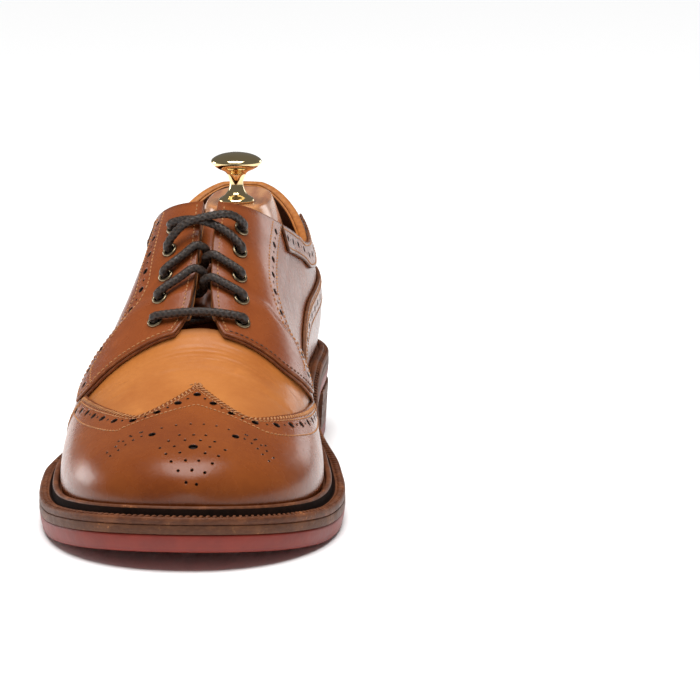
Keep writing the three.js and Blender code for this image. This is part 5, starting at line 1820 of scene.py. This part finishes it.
@dataclass
class Lacing:
    """Eyelets and the round waxed lace through them."""

    finishes: Finishes
    shapes: Shapes
    radius: float = 1.55
    below: float = 2.3
    step: float = 0.34
    braid: float = 9.0

    def outer(self, y: float, across: float) -> float:
        """Distance of the facing's grain side from the last."""
        return FACING_TOP + OVERLAY_STEP * float(drape(np.array(y), np.array(across)))

    def at(self, y: float, across: float, distance: float) -> Array:
        """Point over the last."""
        return LAST.site(np.array(y), np.array(across), np.array(distance))

    def make_eyelets(self) -> None:
        """Ten eyelets in one piece."""
        places = [eyelet_place(row, side.value) for side in Side for row in EYELET_ROWS]
        y, a = (np.array(values) for values in zip(*places))
        lift = np.array([self.outer(*place) + 0.25 for place in places])
        normals = LAST.normal(y, a)
        tangents = np.cross(normals, [0.0, 1.0, 0.3])
        piece = REPEAT.spread(
            "eyelet_rings", self.shapes.ring, LAST.site(y, a, lift), normals, tangents, self.finishes.eyelet
        )
        nodes = [f"eyelet_{side.label}_{row}" for side in Side for row in EYELET_ROWS]
        settle(piece, "eyelet_brass", *nodes)

    def through(self, row: int, sign: float, upwards: bool) -> list[Array]:
        """Points through an eyelet."""
        y, a = eyelet_place(row, sign)
        top = self.outer(y, a) + 0.51
        stops = [self.at(y, a, d) for d in (-self.below + 0.4, 0.8, top - 0.3, top + 1.9)]
        return stops if upwards else stops[::-1]

    def crossing(self, row: int, sign: float) -> list[Array]:
        """From the top of one eyelet into the gap and below the far facing."""
        y, up = eyelet_place(row, 1)[0], eyelet_place(row - 1, 1)[0]
        middle = y + (up - y) * (0.34 if sign > 0 else 0.68)
        top = self.outer(y, 0.0) + self.radius
        return [
            self.at(y + 0.6 * (middle - y), sign * 0.1, top + 0.6), self.at(middle, sign * 0.04, top + 0.4),
            self.at(middle, sign * 0.004, top - 2.2), self.at(middle, -sign * 0.006, -0.2),
            self.at(middle, -sign * 0.045, -self.below - 0.5),
            self.at((middle + up) / 2, -sign * 0.12, -self.below - 0.2),
        ]

    def half(self, start: float) -> list[Array]:
        """Half of the lace from the bar at the throat to the tucked end."""
        depth = 0.0 if start > 0 else 2 * self.radius + 0.3
        low, following = eyelet_place(5, 1)[0], eyelet_place(4, 1)[0]
        points = self.through(5, start, False)
        side_drop = 0.1 + 0.6 * depth
        for share, across, drop in ((0.38, 0.1, side_drop), (0.5, 0.0, depth), (0.62, -0.1, side_drop)):
            points.append(self.at(low + (following - low) * share, start * across, -2 - drop))
        sign = -start
        for row in (4, 3):
            points += self.through(row, sign, True) + self.crossing(row, sign)
            sign = -sign
        first, second = eyelet_place(1, 1)[0], eyelet_place(2, 1)[0]
        lift = 0.0 if sign > 0 else 2 * self.radius + 0.4
        arch = self.outer(first, 0.0) + self.radius + 1 + lift
        points += self.through(2, sign, True)
        for share, across, drop in ((0.3, 0.1, 0.2), (0.5, 0.0, 0.0), (0.8, -0.1, 0.2)):
            points.append(self.at(second + (first - second) * share, sign * across, arch - drop))
        points += self.through(1, -sign, False)
        tail = ((4, 0.2), (10, 0.18))
        return points + [self.at(first + along, -sign * across, -self.below) for along, across in tail]

    def make_lace(self) -> None:
        """Braided lace: a tube whose skin rises and falls in crossing strands."""
        low = eyelet_place(5, 1)[0] - 1
        bar = self.outer(low + 1, 0.0) + self.radius + 1
        middle = [self.at(low, 0.12, bar), self.at(low, 0.0, bar - 0.5), self.at(low, -0.12, bar)]
        route = np.array([*self.half(1)[::-1], *middle, *self.half(-1)])
        line = even_line(centripetal(route, 14), self.step)
        LOG.info("lace is %.0f mm long", self.step * (len(line) - 1))
        tangent = unit(np.gradient(line, axis=0))
        normal = np.cross(tangent[0], [0.2, 0.1, 1.0])
        sides = 20
        angle = round_angles(sides)
        points, strand = [], []
        for i, (p, t) in enumerate(zip(line, tangent)):
            normal = normal - t * (normal @ t)
            normal /= np.linalg.norm(normal)
            other = np.cross(t, normal)
            turns = 2 * np.pi * i * self.step / self.braid
            one = np.abs(np.sin(2.0 * (angle + turns)))
            two = np.abs(np.sin(2.0 * (angle - turns)))
            rise = np.maximum(one, two) * 0.8 + 0.2 * np.minimum(one, two)
            r = self.radius * (0.92 + 0.26 * rise)
            sideways, upwards = (r * np.cos(angle))[:, None], (r * np.sin(angle))[:, None]
            points.append(p + normal * sideways + other * upwards)
            strand.append(rise)
        faces = tube_faces(len(line), sides)
        piece = make_mesh("lace_braid", np.concatenate(points), faces, [self.finishes.cord])
        # Rise of the braid's skin, read by the lace material for its painted highlight and shade and for its
        # roughness.
        store(piece, "strand", np.concatenate(strand))
        merge(piece)
        settle(piece, "lace_cord", "lace")

    def build(self) -> None:
        """Make the eyelets and the lace."""
        self.make_eyelets()
        self.make_lace()


# ---------------------------------------------------------------- shoe tree
@dataclass
class ShoeTree:
    """Heel block and knob of the sprung tree."""

    finishes: Finishes
    top: float = 109.8
    squareness: float = 2.6
    knob_x: float = 3.4
    knob_y: float = percent(74.05)

    def make_block(self) -> None:
        """Heel block with a rounded top edge."""
        low = float(LAST.feather(np.array(percent(85)))) + 6
        sides, rings = 72, []
        corner = np.stack([np.cos(round_angles(sides)), np.sin(round_angles(sides))])
        cx, cy = np.sign(corner) * np.abs(corner) ** (2 / self.squareness)
        levels = [(t, 0.0) for t in np.linspace(0, 0.97, 26)]
        for t, inset in (*levels, (0.985, 0.0), (0.995, 0.3), (1.0, 1.1), (1.0, 2.6)):
            half = 24 * (1 - 0.44 * t**3 - 0.1 * (1 - t) ** 4) - inset
            reach = (42 - np.where(cy > 0, 0, 4 * t)) * (1 - 0.14 * t * t) - inset
            z = np.full(sides, low + (self.top - low) * t)
            rings.append(np.stack([1.8 + 1.4 * t + half * cx, percent(80) + 2 - 6 * t + reach * cy, z], -1))
        faces = tube_faces(len(rings), sides)
        piece = make_mesh("tree_heel_block_wood", np.concatenate(rings), faces, [self.finishes.wood])
        merge(piece)
        piece.data.shade_smooth()
        piece.data.set_sharp_from_angle(angle=math.radians(60))
        settle(piece, "varnished_wood", "tree_heel_block", body="heel_block")

    def make_knob(self) -> None:
        """Turned brass knob with a dished top and a flange at its foot."""
        base = self.top + 0.2
        top = base + 22
        rim = top - 4.6
        outline = [
            (0, base), (7.7, base), (7.9, base + 0.7), (7.2, base + 1.7), (5.2, base + 3.0),
            (3.7, base + 5.2), (3.0, base + 7.8), (3.3, base + 10.2), (4.8, rim - 4.3), (8.2, rim - 2.6), (10.5, rim - 1.0),
            (11.3, rim + 0.2), (10.9, rim + 1.4), (9.2, rim + 2.7), (6.4, rim + 3.8), (3.0, rim + 4.45),
            (0, top),
        ]
        profile = [outline[0], *smooth_profile(outline[1:-1], 5), outline[-1]]
        points, faces = lathe(profile, np.array([self.knob_x, self.knob_y]), 72)
        piece = make_mesh("tree_knob_brass", points, faces, [self.finishes.brass])
        merge(piece)
        piece.data.shade_smooth()
        settle(piece, "polished_brass", "tree_knob", body="heel_block")

    def build(self) -> None:
        """Make the visible pieces of the tree."""
        self.make_block()
        self.make_knob()


class Carried:
    """CAD nodes that stay as they are and only get a finish."""

    def __init__(self, finishes: Finishes) -> None:
        """Choose a finish for each node."""
        f = finishes
        self.plan = {
            "insole": f.board, "cork_filler": f.cork, "shank": f.steel, "sock_liner": f.lining,
            "toe_puff": f.board, "heel_stiffener": f.board, "vamp_lining": f.lining,
            "tree_toe_medial": f.wood, "tree_toe_lateral": f.wood, "tree_tube": f.brass, "tree_rod": f.steel,
            "tree_yoke": f.steel, "hinge_pin": f.steel, "toe_dowel_1": f.brass, "toe_dowel_2": f.brass,
            "knob_stud": f.steel, **{f"heel_nail_{i}": f.brass for i in range(1, 5)},
        }

    def build(self) -> None:
        """Assign the finishes."""
        for node, finish in self.plan.items():
            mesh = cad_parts[node].data
            mesh.materials.clear()
            mesh.materials.append(finish)
        LOG.info("%d carried nodes", len(self.plan))


@dataclass
class Studio:
    """Pale floor, soft lights and the camera."""

    camera_at: tuple[float, float, float] = (0.1515, -1.4524, 0.3303)
    forward: tuple[float, float] = (-0.0623, 0.9981)
    pitch: float = 10.6
    lens: float = 179.9

    def make_floor(self) -> None:
        """Wide flat floor under the shoe."""
        material = Nodes("pale_floor").finish(Base_Color=rgba(0.94, 0.94, 0.94), Roughness=0.8)
        ends = (-9.0, 9.0)
        mesh = bpy.data.meshes.new("studio_floor")
        mesh.from_pydata([(x, y, 0.0) for y in ends for x in ends], [], [(0, 1, 3, 2)])
        mesh.materials.append(material)
        floor = bpy.data.objects.new("studio_floor", mesh)
        bpy.context.scene.collection.objects.link(floor)

    def make_light(
        self, name: str, place: tuple[float, float, float], aim: tuple[float, float, float],
        size: tuple[float, float], power: float,
    ) -> None:
        """One soft box."""
        data = bpy.data.lights.new(name, "AREA")
        data.shape = "RECTANGLE"
        data.size, data.size_y = size
        data.energy = power
        lamp = bpy.data.objects.new(name, data)
        direction = Vector(aim) - Vector(place)
        lamp.visible_camera = False
        turn = direction.to_track_quat("-Z", "Y").to_matrix().to_4x4()
        lamp.matrix_world = Matrix.Translation(place) @ turn
        bpy.context.scene.collection.objects.link(lamp)

    def make_sun(self, strength: float) -> None:
        """Even soft light from above that lights the whole floor but leaves no highlight."""
        data = bpy.data.lights.new("overhead", "SUN")
        data.energy = strength
        data.angle = math.radians(50)
        lamp = bpy.data.objects.new("overhead", data)
        lamp.visible_glossy = False
        bpy.context.scene.collection.objects.link(lamp)

    def make_camera(self) -> None:
        """Camera at its place, without shift or depth of field."""
        data = bpy.data.cameras.new("camera")
        data.lens, data.sensor_width = self.lens, 36.0
        data.clip_end = 50
        camera = bpy.data.objects.new("camera", data)
        pitch = math.radians(self.pitch)
        x, y = self.forward
        direction = Vector((x * math.cos(pitch), y * math.cos(pitch), -math.sin(pitch)))
        turn = direction.to_track_quat("-Z", "Y").to_matrix().to_4x4()
        camera.matrix_world = Matrix.Translation(self.camera_at) @ turn
        bpy.context.scene.collection.objects.link(camera)
        bpy.context.scene.camera = camera

    def build(self) -> None:
        """Make the studio."""
        scene = bpy.context.scene
        scene.view_settings.view_transform = "Standard"
        world = bpy.data.worlds.new("studio")
        world.use_nodes = True
        world.node_tree.nodes["Background"].inputs[0].default_value = rgba(1.0, 1.0, 1.0)
        world.node_tree.nodes["Background"].inputs[1].default_value = 0.16
        scene.world = world
        self.make_floor()
        self.make_sun(2.9)
        self.make_light("top_box", (-0.03, -0.3, 1.2), (-0.03, -0.14, 0), (0.9, 0.7), 12)
        self.make_light("left_box", (-0.85, 0.45, 0.2), (0, -0.05, 0.03), (0.4, 0.3), 1.9)
        self.make_light("right_box", (0.62, 1.05, 0.26), (0, 0, 0.06), (0.35, 0.3), 0.8)
        self.make_camera()


def main() -> None:
    """Build the whole scene."""
    logging.basicConfig(level=logging.INFO, format="%(name)s: %(message)s")
    Studio().build()
    finishes = Finishes()
    shapes = Shapes()
    Upper(finishes, shapes).build()
    Bottom(finishes, shapes).build()
    Lacing(finishes, shapes).build()
    ShoeTree(finishes).build()
    Carried(finishes).build()
    shapes.clear()
    bpy.context.view_layer.update()


if __name__ == "__main__":
    main()
